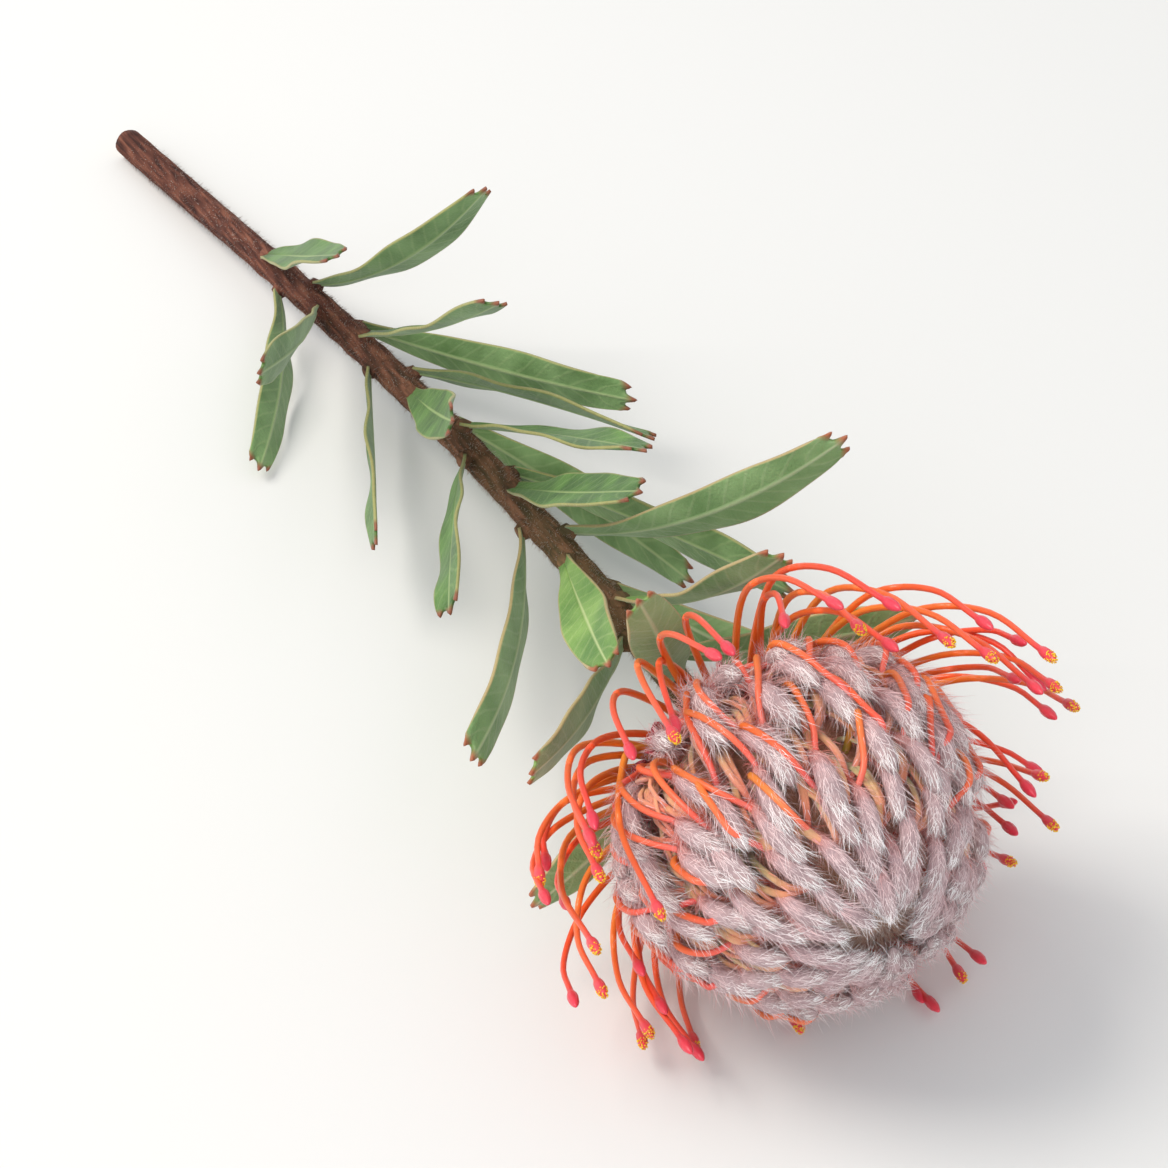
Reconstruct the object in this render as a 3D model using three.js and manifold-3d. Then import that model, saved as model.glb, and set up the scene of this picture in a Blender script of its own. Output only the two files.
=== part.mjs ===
// A cut tango pincushion protea that lies on a surface: one woody shoot with its leaves, the
// involucre, the dome of silky unopened florets, and the styles that loop and spread round it.
// Millimetres, +Z up. The shoot lies along X with the crown towards +X and rests on z = 0.

import * as THREE from 'three';
import { mergeVertices } from 'three/addons/utils/BufferGeometryUtils.js';
import Module from 'manifold-3d';

const wasm = await Module();
wasm.setup();

// Driving dimensions of the shoot
const STEM_RUN = 338;
const STEM_RADIUS_CUT = 4.2;
const STEM_RADIUS_TOP = 3.3;
const STEM_BOW = 9;
const STEM_RISE_POWER = 1.25;
const STEM_KNOTS = 0.05;
const STEM_SIDES = 8;
const STEM_RINGS = 12;
const HEAD_BASE_HEIGHT = 41;

// The cup under the head and the rows of bracts on it, measured along the head's axis
const CUP_DEPTH = 10.5;
const CUP_OUTLINE = [
  [0, -CUP_DEPTH], [4.6, -CUP_DEPTH], [9, -7.5], [15, -3.6], [19, -0.6], [17.5, 0.5], [0, 0.5],
];
const CUP_SIDES = 14;
const BRACT_ROWS = [
  { count: 7, radius: 6.4, height: -9, reach: 12, rise: -6.2 },
  { count: 9, radius: 10.4, height: -6.4, reach: 18.2, rise: -3.2 },
  { count: 11, radius: 15.4, height: -3.2, reach: 23.4, rise: -0.9 },
];
const BRACT_HALF_WIDTH = 2.3;
const BRACT_THINNESS = 0.45;
const BRACT_ROW_OFFSET = 0.37;

// The dome of closed florets, along the head's own axis from its base
const DOME_RADIUS = 35.5;
const DOME_RIM_RADIUS = 25;
const DOME_RIM_AT = 8;
const DOME_WIDEST_AT = 19;
const DOME_WIDEST_SHARE = 0.72;
const DOME_CROWN_AT = 61;
const DOME_SHOULDER = 0.95;
const DOME_FLOOR_AT = 5;
const DOME_GIRTH = 92;
const CORE_SHARE = 0.74;
const CORE_HEIGHT_SHARE = 0.81;
const CORE_SIDES = 14;
const CORE_STEPS = 9;

// Florets still closed: a claw from the core that swells into a club with a pointed tip
const BUD_COUNT = 108;
const BUD_LENGTH = 25;
const BUD_CLUB_RADIUS = 2.3;
const BUD_CLAW_RADIUS = 1.25;
const BUD_SIDES = 4;
const BUD_FLOOR_AT = DOME_FLOOR_AT + 2.6;
const BUD_REST_HEIGHT = 4.4;
const BUD_FIRST_SHARE = 0.02;
const BUD_SHARE_RANGE = 0.8;
const BUD_CROWDING = 0.92;
const BUD_CROWN_SIZE = 0.66;
const BUD_FULL_SIZE_SHARE = 0.42;
const BUD_DRIFT = [-0.05, 0.05];
const BUD_LIFT = [-0.5, 0.9];
const BUD_STATIONS = [
  { back: 1, wide: 0.6, high: 0.7, radius: BUD_CLAW_RADIUS },
  { back: 0.52, wide: 0.93, high: 0.96, radius: BUD_CLUB_RADIUS },
  { back: 0.14, wide: 0.985, high: 0.99, radius: BUD_CLUB_RADIUS * 0.92 },
  { back: 0, wide: 1, high: 1.02, radius: 0 },
];

// The disc that carries the styles, between the cup and the dome
const DISC_RADIUS = 20;
const DISC_BOTTOM = 1;
const DISC_TOP = 4.2;
const DISC_BEVEL = 1.6;
const DISC_SIDES = 18;

// Styles: the loops whose tips are still held, and the released pins
const STYLE_SIDES = 3;
const STYLE_ROOT = 1.2;
const STYLE_CLEARANCE = 4.9;
const REST_SHARE = 0.45;
const LOOP_COUNT = 50;
const LOOP_STEPS = 7;
const LOOP_RADIUS = 0.8;
const LOOP_WHORLS = 3;
const LOOP_OUTER_SHARE = 0.86;
const LOOP_WHORL_STEP = 0.15;
const LOOP_RETURN = 0.08;
const LOOP_SHARE_VARIES = [-0.04, 0.04];
const LOOP_BOW = [5, 10];
const LOOP_LOW = [-2, 2];
const LOOP_DRIFT = [-0.18, 0.18];
const PIN_COUNT = 36;
const PIN_STEPS = 6;
const PIN_RADIUS = 0.8;
const PIN_TIP_RADIUS = 1.25;
const PIN_TIP_LENGTH = 5;
const PIN_FIRST_TURN = 1.1;
const PIN_REACH = [50, 60];
const PIN_CLIMB = [16, 40];
const PIN_SAG = [-5, 1];
const PIN_DRIFT = [-0.22, 0.22];

// Perianth segments that the released styles left behind, curled back
const CURL_COUNT = 14;
const CURL_STEPS = 3;
const CURL_FIRST_TURN = 2.3;
const CURL_REACH = [5, 11];
const CURL_DRIFT = [-0.3, 0.3];
const CURL_RADII = [1.2, 1.3, 1.1, 0];

// Leaves
const LEAF_COUNT = 23;
const LEAF_FIRST_AT = 88;
const LEAF_LAST_AT = 321;
const LEAF_FIRST_TURN = 0.5;
const LEAF_LOWEST_TURN = THREE.MathUtils.degToRad(118);
const LEAF_LENGTH = 72;
const LEAF_LENGTH_VARIES = [0.88, 1.12];
const LEAF_TOP_LENGTH = 0.66;
const LEAF_TOP_FROM = 0.72;
const LEAF_TOP_CURL = 22;
const LEAF_WIDTH = 12.5;
const LEAF_BASE_WIDTH = 0.3;
const LEAF_THICKNESS = 0.9;
const LEAF_REST_HEIGHT = LEAF_THICKNESS * 0.62;
const LEAF_STEPS = 6;
const LEAF_LEAN = [24, 36];
const LEAF_CURL = [-14, 34];
const LEAF_SWAY = [-14, 14];
const LEAF_TWIST = [-24, 24];
const LEAF_WAVE = 0.9;
const LEAF_TROUGH = 0.16;
const TOOTH_LENGTH = 0.055;
const CUSHION_REACH = 1.3;
const CUSHION_ROOT = 1.4;
const CUSHION_RADII = [2.9, 1.5];
const CUSHION_SIDES = 4;
const HEAD_ROOM = 6;

const GAP = 0.3;
const SLIVER = 0.04;
const SOFTNESS = 3;
const GOLDEN_ANGLE = THREE.MathUtils.degToRad(137.508);
const UP = new THREE.Vector3(0, 0, 1);
const STEM_TOP_SHARE = 1 - (CUP_DEPTH + GAP) / STEM_RUN;

// One stream of draws for each thing that varies from copy to copy
const DRAW = {
  stemKnot: 3,
  leafLength: 11,
  leafLean: 12,
  leafCurl: 13,
  leafSway: 14,
  leafTwist: 15,
  budDrift: 21,
  budLift: 22,
  loopShare: 31,
  loopBow: 32,
  loopLow: 33,
  loopDrift: 34,
  pinReach: 41,
  pinClimb: 42,
  pinSag: 43,
  pinDrift: 44,
  curlReach: 51,
  curlDrift: 52,
};

// Colours and surfaces
const BARK = new THREE.MeshStandardMaterial({ color: 0x7a4638, roughness: 0.85 });
const GREEN = new THREE.MeshStandardMaterial({ color: 0x6f8f4e, roughness: 0.6 });
const BRACT = new THREE.MeshStandardMaterial({ color: 0x9a7d5c, roughness: 0.8 });
const SILK = new THREE.MeshStandardMaterial({ color: 0xb9a3a6, roughness: 0.9 });
const CORAL = new THREE.MeshStandardMaterial({ color: 0xf4683c, roughness: 0.45 });

// A repeatable draw between 0 and 1 for one copy and one stream.
function jitter(index, stream) {
  const value = Math.sin(index * 12.9898 + stream * 78.233) * 43758.5453;
  return value - Math.floor(value);
}

function spread(index, stream, [low, high]) {
  return low + (high - low) * jitter(index, stream);
}

function spreadAngle(index, stream, range) {
  return THREE.MathUtils.degToRad(spread(index, stream, range));
}

// What would sink below the surface lies along it at the given height, with a soft turn.
function settle(point, height) {
  const above = point.z - height;
  if (above < SOFTNESS) {
    point.z = height + SOFTNESS * Math.exp((above - SOFTNESS) / SOFTNESS);
  }
  return point;
}

// The centre line of the shoot: share 0 is the cut end, 1 is the base of the head.
function stemPoint(share) {
  const rise = HEAD_BASE_HEIGHT - STEM_RADIUS_CUT;
  return new THREE.Vector3(
    -STEM_RUN * (1 - share),
    STEM_BOW * Math.sin(Math.PI * share),
    STEM_RADIUS_CUT + rise * Math.pow(share, STEM_RISE_POWER),
  );
}

function stemRadius(share) {
  return THREE.MathUtils.lerp(STEM_RADIUS_CUT, STEM_RADIUS_TOP, share);
}

// How far from the centre line the cushions end, which carry the leaves.
const CUSHION_TOP = stemRadius(0.5) + CUSHION_REACH;

// Directions across the shoot: up is as near to +Z as it can be, side is level.
function frameAlong(share) {
  const step = 0.002;
  const forward = stemPoint(share).sub(stemPoint(share - step)).normalize();
  const side = new THREE.Vector3().crossVectors(forward, UP).normalize();
  const up = new THREE.Vector3().crossVectors(side, forward).normalize();
  return { forward, side, up };
}

function across(frame, turn) {
  return frame.up.clone().multiplyScalar(Math.cos(turn))
    .addScaledVector(frame.side, Math.sin(turn));
}

const headFrame = frameAlong(1);

// A point of the head from its distance to the axis, its height on the axis and its turn.
function headPoint(radius, height, turn) {
  return stemPoint(1)
    .addScaledVector(headFrame.forward, height)
    .addScaledVector(across(headFrame, turn), radius);
}

// The outline of the dome: share 0 is the crown, 1 its lower rim. Returns [radius, height].
function domeOutline(share) {
  if (share < DOME_WIDEST_SHARE) {
    const angle = (share / DOME_WIDEST_SHARE) * Math.PI / 2;
    const radius = DOME_RADIUS * Math.pow(Math.sin(angle), DOME_SHOULDER);
    const height = DOME_WIDEST_AT + (DOME_CROWN_AT - DOME_WIDEST_AT) * Math.cos(angle);
    return [radius, height];
  }
  const angle = ((share - DOME_WIDEST_SHARE) / (1 - DOME_WIDEST_SHARE)) * Math.PI / 2;
  const radius = DOME_RIM_RADIUS + (DOME_RADIUS - DOME_RIM_RADIUS) * Math.cos(angle);
  const height = DOME_WIDEST_AT - (DOME_WIDEST_AT - DOME_RIM_AT) * Math.sin(angle);
  return [radius, height];
}

// A closed tube of flat facets round a line of points, with its own radius at each point.
// A radius of 0 at the last point closes it in a tip. A flat one is thinner along the given
// direction than across it.
function tubeGeometry(points, radii, sides, thinAlong = null, thinness = 1) {
  const positions = [];
  const index = [];
  const count = points.length;
  const pointed = radii[count - 1] === 0;
  const rings = pointed ? count - 1 : count;
  let normal = thinAlong === null ? null : thinAlong.clone();
  for (let ring = 0; ring < rings; ring += 1) {
    const before = points[Math.max(ring - 1, 0)];
    const after = points[Math.min(ring + 1, count - 1)];
    const forward = after.clone().sub(before).normalize();
    if (normal === null) {
      normal = Math.abs(forward.z) < 0.9 ? UP.clone() : new THREE.Vector3(1, 0, 0);
    }
    normal.addScaledVector(forward, -normal.dot(forward)).normalize();
    const side = new THREE.Vector3().crossVectors(forward, normal);
    for (let corner = 0; corner < sides; corner += 1) {
      const angle = (corner / sides) * Math.PI * 2;
      const vertex = points[ring].clone()
        .addScaledVector(normal, radii[ring] * thinness * Math.cos(angle))
        .addScaledVector(side, radii[ring] * Math.sin(angle));
      positions.push(vertex.x, vertex.y, vertex.z);
    }
  }
  for (let ring = 0; ring + 1 < rings; ring += 1) {
    for (let corner = 0; corner < sides; corner += 1) {
      const a = ring * sides + corner;
      const b = ring * sides + ((corner + 1) % sides);
      index.push(a, b, b + sides, a, b + sides, a + sides);
    }
  }
  for (let corner = 1; corner + 1 < sides; corner += 1) {
    index.push(0, corner + 1, corner);
  }
  const last = (rings - 1) * sides;
  if (pointed) {
    const tip = points[count - 1];
    positions.push(tip.x, tip.y, tip.z);
    for (let corner = 0; corner < sides; corner += 1) {
      index.push(last + corner, last + ((corner + 1) % sides), rings * sides);
    }
  } else {
    for (let corner = 1; corner + 1 < sides; corner += 1) {
      index.push(last, last + corner, last + corner + 1);
    }
  }
  const geometry = new THREE.BufferGeometry();
  geometry.setAttribute('position', new THREE.Float32BufferAttribute(positions, 3));
  geometry.setIndex(index);
  return geometry;
}

function toSolid(geometry) {
  const bare = geometry.clone();
  bare.deleteAttribute('normal');
  bare.deleteAttribute('uv');
  const merged = mergeVertices(bare, 1e-4);
  return new wasm.Manifold(new wasm.Mesh({
    numProp: 3,
    vertProperties: merged.attributes.position.array,
    triVerts: new Uint32Array(merged.index.array),
  }));
}

function toGeometry(solid) {
  const mesh = solid.getMesh();
  const geometry = new THREE.BufferGeometry();
  geometry.setAttribute('position', new THREE.BufferAttribute(mesh.vertProperties, 3));
  geometry.setIndex(new THREE.BufferAttribute(mesh.triVerts, 1));
  return geometry;
}

// Joins solids two by two, so that no join has to carry the whole head. The joined solid is
// then freed of slivers, of any hollow that the joining sealed and of loose scraps.
function joinAll(solids) {
  let left = solids;
  while (left.length > 1) {
    const joined = [];
    for (let place = 0; place < left.length; place += 2) {
      joined.push(place + 1 < left.length ? left[place].add(left[place + 1]) : left[place]);
    }
    left = joined;
  }
  return wholeBody(left[0]);
}

function wholeBody(solid) {
  const bodies = solid.simplify(SLIVER).decompose();
  return bodies.reduce((best, body) => (body.volume() > best.volume() ? body : best));
}

// Everything below the surface is cut away, which leaves flat spots where it lies.
function cutAtSurface(solid) {
  const size = 1000;
  const slab = new THREE.BoxGeometry(size, size, size).translate(0, 0, -size / 2);
  return wholeBody(solid.subtract(toSolid(slab)));
}

// A solid turned round the head's axis from its outline of [radius, height] pairs.
function turnedAboutAxis(outline, segments) {
  const profile = outline.map(([radius, height]) => new THREE.Vector2(radius, height));
  const { side, forward, up } = headFrame;
  const place = new THREE.Matrix4().makeBasis(side, forward, up).setPosition(stemPoint(1));
  return toSolid(new THREE.LatheGeometry(profile, segments).applyMatrix4(place));
}

function smoothLine(points, steps) {
  return new THREE.CatmullRomCurve3(points, false, 'centripetal').getPoints(steps);
}

function buildStem() {
  const points = [];
  const radii = [];
  for (let ring = 0; ring <= STEM_RINGS; ring += 1) {
    const share = ring / STEM_RINGS;
    points.push(stemPoint(share * STEM_TOP_SHARE));
    const knot = ring === 0 ? 0 : STEM_KNOTS * (jitter(ring, DRAW.stemKnot) - 0.5);
    radii.push(stemRadius(share) * (1 + knot));
  }
  const wood = toSolid(tubeGeometry(points, radii, STEM_SIDES));
  const cushions = leafSeats().map(({ root, outward }) => {
    const start = root.clone().addScaledVector(outward, CUSHION_ROOT);
    const end = root.clone().addScaledVector(outward, CUSHION_TOP);
    return toSolid(tubeGeometry([start, end], CUSHION_RADII, CUSHION_SIDES));
  });
  return cutAtSurface(joinAll([wood, ...cushions]));
}

// Where each leaf sits: golden-angle steps up the shoot, and none straight below it.
function leafSeats() {
  const seats = [];
  for (let leaf = 0; leaf < LEAF_COUNT; leaf += 1) {
    const rank = leaf / (LEAF_COUNT - 1);
    const along = THREE.MathUtils.lerp(LEAF_FIRST_AT, LEAF_LAST_AT, rank);
    const share = along / STEM_RUN;
    const frame = frameAlong(share);
    let turn = (leaf * GOLDEN_ANGLE + LEAF_FIRST_TURN) % (Math.PI * 2);
    if (turn > Math.PI) turn -= Math.PI * 2;
    const outward = across(frame, turn * LEAF_LOWEST_TURN / Math.PI);
    seats.push({ leaf, rank, share, frame, outward, root: stemPoint(share) });
  }
  return seats;
}

// The half width of a blade: narrow at its base, widest past the middle, toothed at its tip.
function leafHalfWidth(share) {
  const swell = Math.sin(Math.PI * Math.pow(share, 1.25) * 0.86);
  return (LEAF_WIDTH / 2) * THREE.MathUtils.lerp(LEAF_BASE_WIDTH, 1, swell);
}

// The centre line of a leaf and its heading at each step. The top leaves lean out far enough
// to stay clear of the styles.
function leafLine({ leaf, rank, share, frame, outward, root }) {
  const top = THREE.MathUtils.smoothstep(rank, LEAF_TOP_FROM, 1);
  const varied = spread(leaf, DRAW.leafLength, LEAF_LENGTH_VARIES);
  const length = LEAF_LENGTH * THREE.MathUtils.lerp(varied, LEAF_TOP_LENGTH, top);
  const ownCurl = spread(leaf, DRAW.leafCurl, LEAF_CURL);
  const curl = THREE.MathUtils.degToRad(THREE.MathUtils.lerp(ownCurl, LEAF_TOP_CURL, top));
  const room = (1 - share) * STEM_RUN - HEAD_ROOM;
  const clear = Math.acos(Math.min(room / length, 1)) - curl / 2;
  const lean = Math.max(spreadAngle(leaf, DRAW.leafLean, LEAF_LEAN), clear);
  const sway = spreadAngle(leaf, DRAW.leafSway, LEAF_SWAY);
  const sideways = new THREE.Vector3().crossVectors(frame.forward, outward).normalize();
  const start = CUSHION_TOP + GAP + LEAF_THICKNESS / 2;
  const centre = [root.clone().addScaledVector(outward, start)];
  const headings = [];
  for (let step = 0; step <= LEAF_STEPS; step += 1) {
    const angle = lean + curl * step / LEAF_STEPS;
    const bend = sway * step / LEAF_STEPS;
    const heading = frame.forward.clone().multiplyScalar(Math.cos(angle) * Math.cos(bend))
      .addScaledVector(outward, Math.sin(angle))
      .addScaledVector(sideways, Math.cos(angle) * Math.sin(bend))
      .normalize();
    headings.push(heading);
    if (step < LEAF_STEPS) {
      centre.push(centre[step].clone().addScaledVector(heading, length / LEAF_STEPS));
    }
  }
  return { centre, headings, length };
}

// A leaf: rows of three points across its centre line, twisted, waved and troughed, which
// settle on the surface below and are then given their thickness on both faces alike.
function buildLeaf(seat) {
  const { centre, headings, length } = leafLine(seat);
  const twist = spreadAngle(seat.leaf, DRAW.leafTwist, LEAF_TWIST);
  const rows = centre.map((point, step) => {
    const share = step / LEAF_STEPS;
    const heading = headings[step];
    const width = new THREE.Vector3().crossVectors(heading, seat.outward).normalize();
    const face = new THREE.Vector3().crossVectors(width, heading).normalize();
    const turned = width.clone().multiplyScalar(Math.cos(twist * share))
      .addScaledVector(face, Math.sin(twist * share));
    const lift = new THREE.Vector3().crossVectors(turned, heading).normalize();
    const half = leafHalfWidth(share);
    const wave = LEAF_WAVE * share * Math.sin(share * Math.PI * 3 + seat.leaf);
    return [-1, 0, 1].map((place) => settle(
      point.clone()
        .addScaledVector(turned, half * place)
        .addScaledVector(lift, place === 0 ? -LEAF_TROUGH * half : place * wave),
      LEAF_REST_HEIGHT,
    ));
  });
  return bladeSolid(rows, toothedTip(rows, length));
}

// Three teeth past the last row: outer, middle and outer again, with notches between them.
function toothedTip(rows, length) {
  const last = rows[rows.length - 1];
  const before = rows[rows.length - 2];
  const ahead = last[1].clone().sub(before[1]).setLength(length * TOOTH_LENGTH);
  const forwardOf = (place, share) => last[place].clone().addScaledVector(ahead, share);
  const between = (first, second, share) => last[first].clone().lerp(last[second], share)
    .addScaledVector(ahead, 0.25);
  return [
    forwardOf(0, 0.9),
    between(0, 1, 0.5),
    forwardOf(1, 1.6),
    between(1, 2, 0.5),
    forwardOf(2, 0.9),
  ].map((point) => settle(point, LEAF_REST_HEIGHT));
}

// A thin closed blade from rows of three points and the five points of its toothed edge.
function bladeSolid(rows, teeth) {
  const middle = rows.flat().concat(teeth);
  const faces = [];
  for (let row = 0; row + 1 < rows.length; row += 1) {
    for (let place = 0; place < 2; place += 1) {
      const a = row * 3 + place;
      faces.push([a, a + 1, a + 4], [a, a + 4, a + 3]);
    }
  }
  const last = (rows.length - 1) * 3;
  const tooth = rows.length * 3;
  faces.push(
    [last, tooth + 1, tooth],
    [last, last + 1, tooth + 1],
    [last + 1, tooth + 3, tooth + 1],
    [tooth + 1, tooth + 3, tooth + 2],
    [last + 1, last + 2, tooth + 3],
    [last + 2, tooth + 4, tooth + 3],
  );
  const normals = middle.map(() => new THREE.Vector3());
  faces.forEach(([a, b, c]) => {
    const normal = middle[b].clone().sub(middle[a]).cross(middle[c].clone().sub(middle[a]));
    [a, b, c].forEach((vertex) => normals[vertex].add(normal));
  });
  const count = middle.length;
  const positions = [];
  [1, -1].forEach((face) => middle.forEach((point, vertex) => {
    const normal = normals[vertex].clone().normalize();
    const placed = point.clone().addScaledVector(normal, face * LEAF_THICKNESS / 2);
    positions.push(placed.x, placed.y, placed.z);
  }));
  const index = faces.flatMap(([a, b, c]) => [a, b, c, count + a, count + c, count + b]);
  const edges = new Map();
  faces.forEach(([a, b, c]) => [[a, b], [b, c], [c, a]].forEach(([from, to]) => {
    if (edges.has(`${to} ${from}`)) edges.delete(`${to} ${from}`);
    else edges.set(`${from} ${to}`, [from, to]);
  }));
  edges.forEach(([from, to]) => {
    index.push(to, from, count + from, to, count + from, count + to);
  });
  const geometry = new THREE.BufferGeometry();
  geometry.setAttribute('position', new THREE.Float32BufferAttribute(positions, 3));
  geometry.setIndex(index);
  return toSolid(geometry);
}

// The cup and its pointed bracts, in rows that turn outwards.
function buildInvolucre() {
  const pieces = [turnedAboutAxis(CUP_OUTLINE, CUP_SIDES)];
  BRACT_ROWS.forEach(({ count, radius, height, reach, rise }, row) => {
    for (let bract = 0; bract < count; bract += 1) {
      const turn = (bract / count + row * BRACT_ROW_OFFSET) * Math.PI * 2;
      const points = [
        headPoint(radius - 1, height + 0.9, turn),
        headPoint((radius + reach) / 2, (height + rise) / 2 - 0.7, turn),
        headPoint(reach, rise, turn),
      ];
      const outward = across(headFrame, turn);
      const radii = [BRACT_HALF_WIDTH, BRACT_HALF_WIDTH, 0];
      pieces.push(toSolid(tubeGeometry(points, radii, 4, outward, BRACT_THINNESS)));
    }
  });
  return joinAll(pieces);
}

// The core and, standing out of it, each closed floret: a thin claw that swells into a club
// whose tip points along the dome to the crown.
function buildBuds() {
  const outline = [[0, DOME_FLOOR_AT]];
  const lowered = (height) => DOME_FLOOR_AT + (height - DOME_FLOOR_AT) * CORE_HEIGHT_SHARE;
  for (let step = CORE_STEPS; step > 0; step -= 1) {
    const [radius, height] = domeOutline(step / CORE_STEPS);
    outline.push([radius * CORE_SHARE + 1, lowered(height)]);
  }
  outline.push([0, lowered(DOME_CROWN_AT)]);
  const pieces = [turnedAboutAxis(outline, CORE_SIDES)];
  for (let bud = 0; bud < BUD_COUNT; bud += 1) {
    const { points, radii } = budLine(bud);
    pieces.push(toSolid(tubeGeometry(points, radii, BUD_SIDES)));
  }
  return joinAll(pieces);
}

function budLine(bud) {
  const age = Math.pow((bud + 0.5) / BUD_COUNT, BUD_CROWDING);
  const share = BUD_FIRST_SHARE + BUD_SHARE_RANGE * age;
  const turn = bud * GOLDEN_ANGLE;
  const drift = spread(bud, DRAW.budDrift, BUD_DRIFT);
  const lift = spread(bud, DRAW.budLift, BUD_LIFT);
  const grown = Math.min(1, share / BUD_FULL_SIZE_SHARE);
  const size = THREE.MathUtils.lerp(BUD_CROWN_SIZE, 1, grown);
  const reach = size * BUD_LENGTH / DOME_GIRTH;
  const points = BUD_STATIONS.map(({ back, wide, high }) => {
    const [radius, height] = domeOutline(Math.min(share + reach * back, 1));
    const away = radius * wide + lift * (1 - back);
    const raised = BUD_FLOOR_AT + (height - BUD_FLOOR_AT) * high;
    return settle(headPoint(away, raised, turn + drift * (1 - back)), BUD_REST_HEIGHT);
  });
  return { points, radii: BUD_STATIONS.map(({ radius }) => radius * size) };
}

// The disc from which every style rises, the loops, the released pins and the crimson curls.
function buildStyles() {
  const disc = [
    [0, DISC_BOTTOM], [DISC_RADIUS - DISC_BEVEL, DISC_BOTTOM],
    [DISC_RADIUS, DISC_BOTTOM + DISC_BEVEL], [DISC_RADIUS, DISC_TOP], [0, DISC_TOP],
  ];
  const pieces = [turnedAboutAxis(disc, DISC_SIDES)];
  const kinds = [[LOOP_COUNT, loopLine], [PIN_COUNT, pinLine], [CURL_COUNT, curlLine]];
  kinds.forEach(([count, line]) => {
    for (let copy = 0; copy < count; copy += 1) {
      const { points, radii } = line(copy);
      pieces.push(toSolid(tubeGeometry(points, radii, STYLE_SIDES)));
    }
  });
  return cutAtSurface(joinAll(pieces));
}

// A smooth line through marks of [radius, height] that drifts sideways as it goes.
function settledLine(marks, turn, drift, steps, height) {
  const line = marks.map(([radius, at], place) => headPoint(
    radius,
    at,
    turn + drift * (place / (marks.length - 1)),
  ));
  return smoothLine(line, steps).map((point) => settle(point, height));
}

// A style whose tip is still held: it bows out past the dome and comes back to its club.
function loopLine(loop) {
  const varied = spread(loop, DRAW.loopShare, LOOP_SHARE_VARIES);
  const whorl = loop % LOOP_WHORLS;
  const share = LOOP_OUTER_SHARE - LOOP_WHORL_STEP * whorl + varied;
  const [radius, height] = domeOutline(share);
  const [endRadius, endHeight] = domeOutline(share - LOOP_RETURN);
  const bow = spread(loop, DRAW.loopBow, LOOP_BOW) - whorl;
  const low = spread(loop, DRAW.loopLow, LOOP_LOW);
  const drift = spread(loop, DRAW.loopDrift, LOOP_DRIFT);
  const marks = [
    [DISC_RADIUS - STYLE_ROOT, DISC_TOP - 1],
    [DISC_RADIUS + 9, DISC_BOTTOM + 2 + low * 0.3],
    [DOME_RADIUS + 2 + bow * 0.9, DISC_BOTTOM + 7 + low],
    [Math.max(radius, DOME_RADIUS - 2) + bow, (height + DISC_TOP) / 2 + 3],
    [radius + STYLE_CLEARANCE + 1.2, height],
    [endRadius + STYLE_CLEARANCE, endHeight],
  ];
  const rest = LOOP_RADIUS * REST_SHARE;
  const points = settledLine(marks, loop * GOLDEN_ANGLE, drift, LOOP_STEPS, rest);
  return { points, radii: points.map(() => LOOP_RADIUS) };
}

// A released style: out past the dome, then up, with a spindle for a tip.
function pinLine(pin) {
  const turn = pin * GOLDEN_ANGLE + PIN_FIRST_TURN;
  const reach = spread(pin, DRAW.pinReach, PIN_REACH);
  const climb = spread(pin, DRAW.pinClimb, PIN_CLIMB);
  const sag = spread(pin, DRAW.pinSag, PIN_SAG);
  const drift = spread(pin, DRAW.pinDrift, PIN_DRIFT);
  const marks = [
    [DISC_RADIUS - STYLE_ROOT, DISC_BOTTOM + 0.9],
    [DISC_RADIUS + 10, DISC_BOTTOM + 0.4 + sag * 0.3],
    [reach * 0.8, 3 + sag + climb * 0.12],
    [reach * 0.97, 6 + sag * 0.5 + climb * 0.42],
    [reach, climb],
  ];
  const points = settledLine(marks, turn, drift, PIN_STEPS, PIN_RADIUS * REST_SHARE);
  const radii = points.map(() => PIN_RADIUS);
  const end = points[points.length - 1];
  const heading = end.clone().sub(points[points.length - 2]).normalize();
  const onward = (share) => end.clone().addScaledVector(heading, PIN_TIP_LENGTH * share);
  const belly = settle(onward(0.4), PIN_RADIUS);
  const tip = settle(onward(1), PIN_RADIUS * 0.6);
  return { points: [...points, belly, tip], radii: [...radii, PIN_TIP_RADIUS, 0] };
}

// A crimson perianth segment, curled back low down between the styles.
function curlLine(curl) {
  const turn = curl * GOLDEN_ANGLE + CURL_FIRST_TURN;
  const reach = spread(curl, DRAW.curlReach, CURL_REACH);
  const drift = spread(curl, DRAW.curlDrift, CURL_DRIFT);
  const marks = [
    [DISC_RADIUS - 1, DISC_BOTTOM + 1.8],
    [DISC_RADIUS + reach * 0.7, DISC_BOTTOM + 1],
    [DISC_RADIUS + reach, DISC_BOTTOM + 3.2],
    [DISC_RADIUS + reach * 0.7, DISC_BOTTOM + 5],
  ];
  return { points: settledLine(marks, turn, drift, CURL_STEPS, 1), radii: CURL_RADII };
}

function named(name, solid, material) {
  const mesh = new THREE.Mesh(toGeometry(solid), material);
  mesh.name = name;
  return mesh;
}

const flower = new THREE.Group();
flower.add(named('stem', buildStem(), BARK));
flower.add(named('involucre', buildInvolucre(), BRACT));
flower.add(named('silky_buds', buildBuds(), SILK));
flower.add(named('styles', buildStyles(), CORAL));
leafSeats().forEach((seat) => {
  const number = String(seat.leaf + 1).padStart(2, '0');
  flower.add(named(`leaf_${number}`, buildLeaf(seat), GREEN));
});

// The group's own frame: the middle of the part's box, on the surface it lies on.
const box = new THREE.Box3().setFromObject(flower);
const group = new THREE.Group();
flower.position.set(-(box.min.x + box.max.x) / 2, -(box.min.y + box.max.y) / 2, -box.min.z);
group.add(flower);

export default group;
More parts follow.
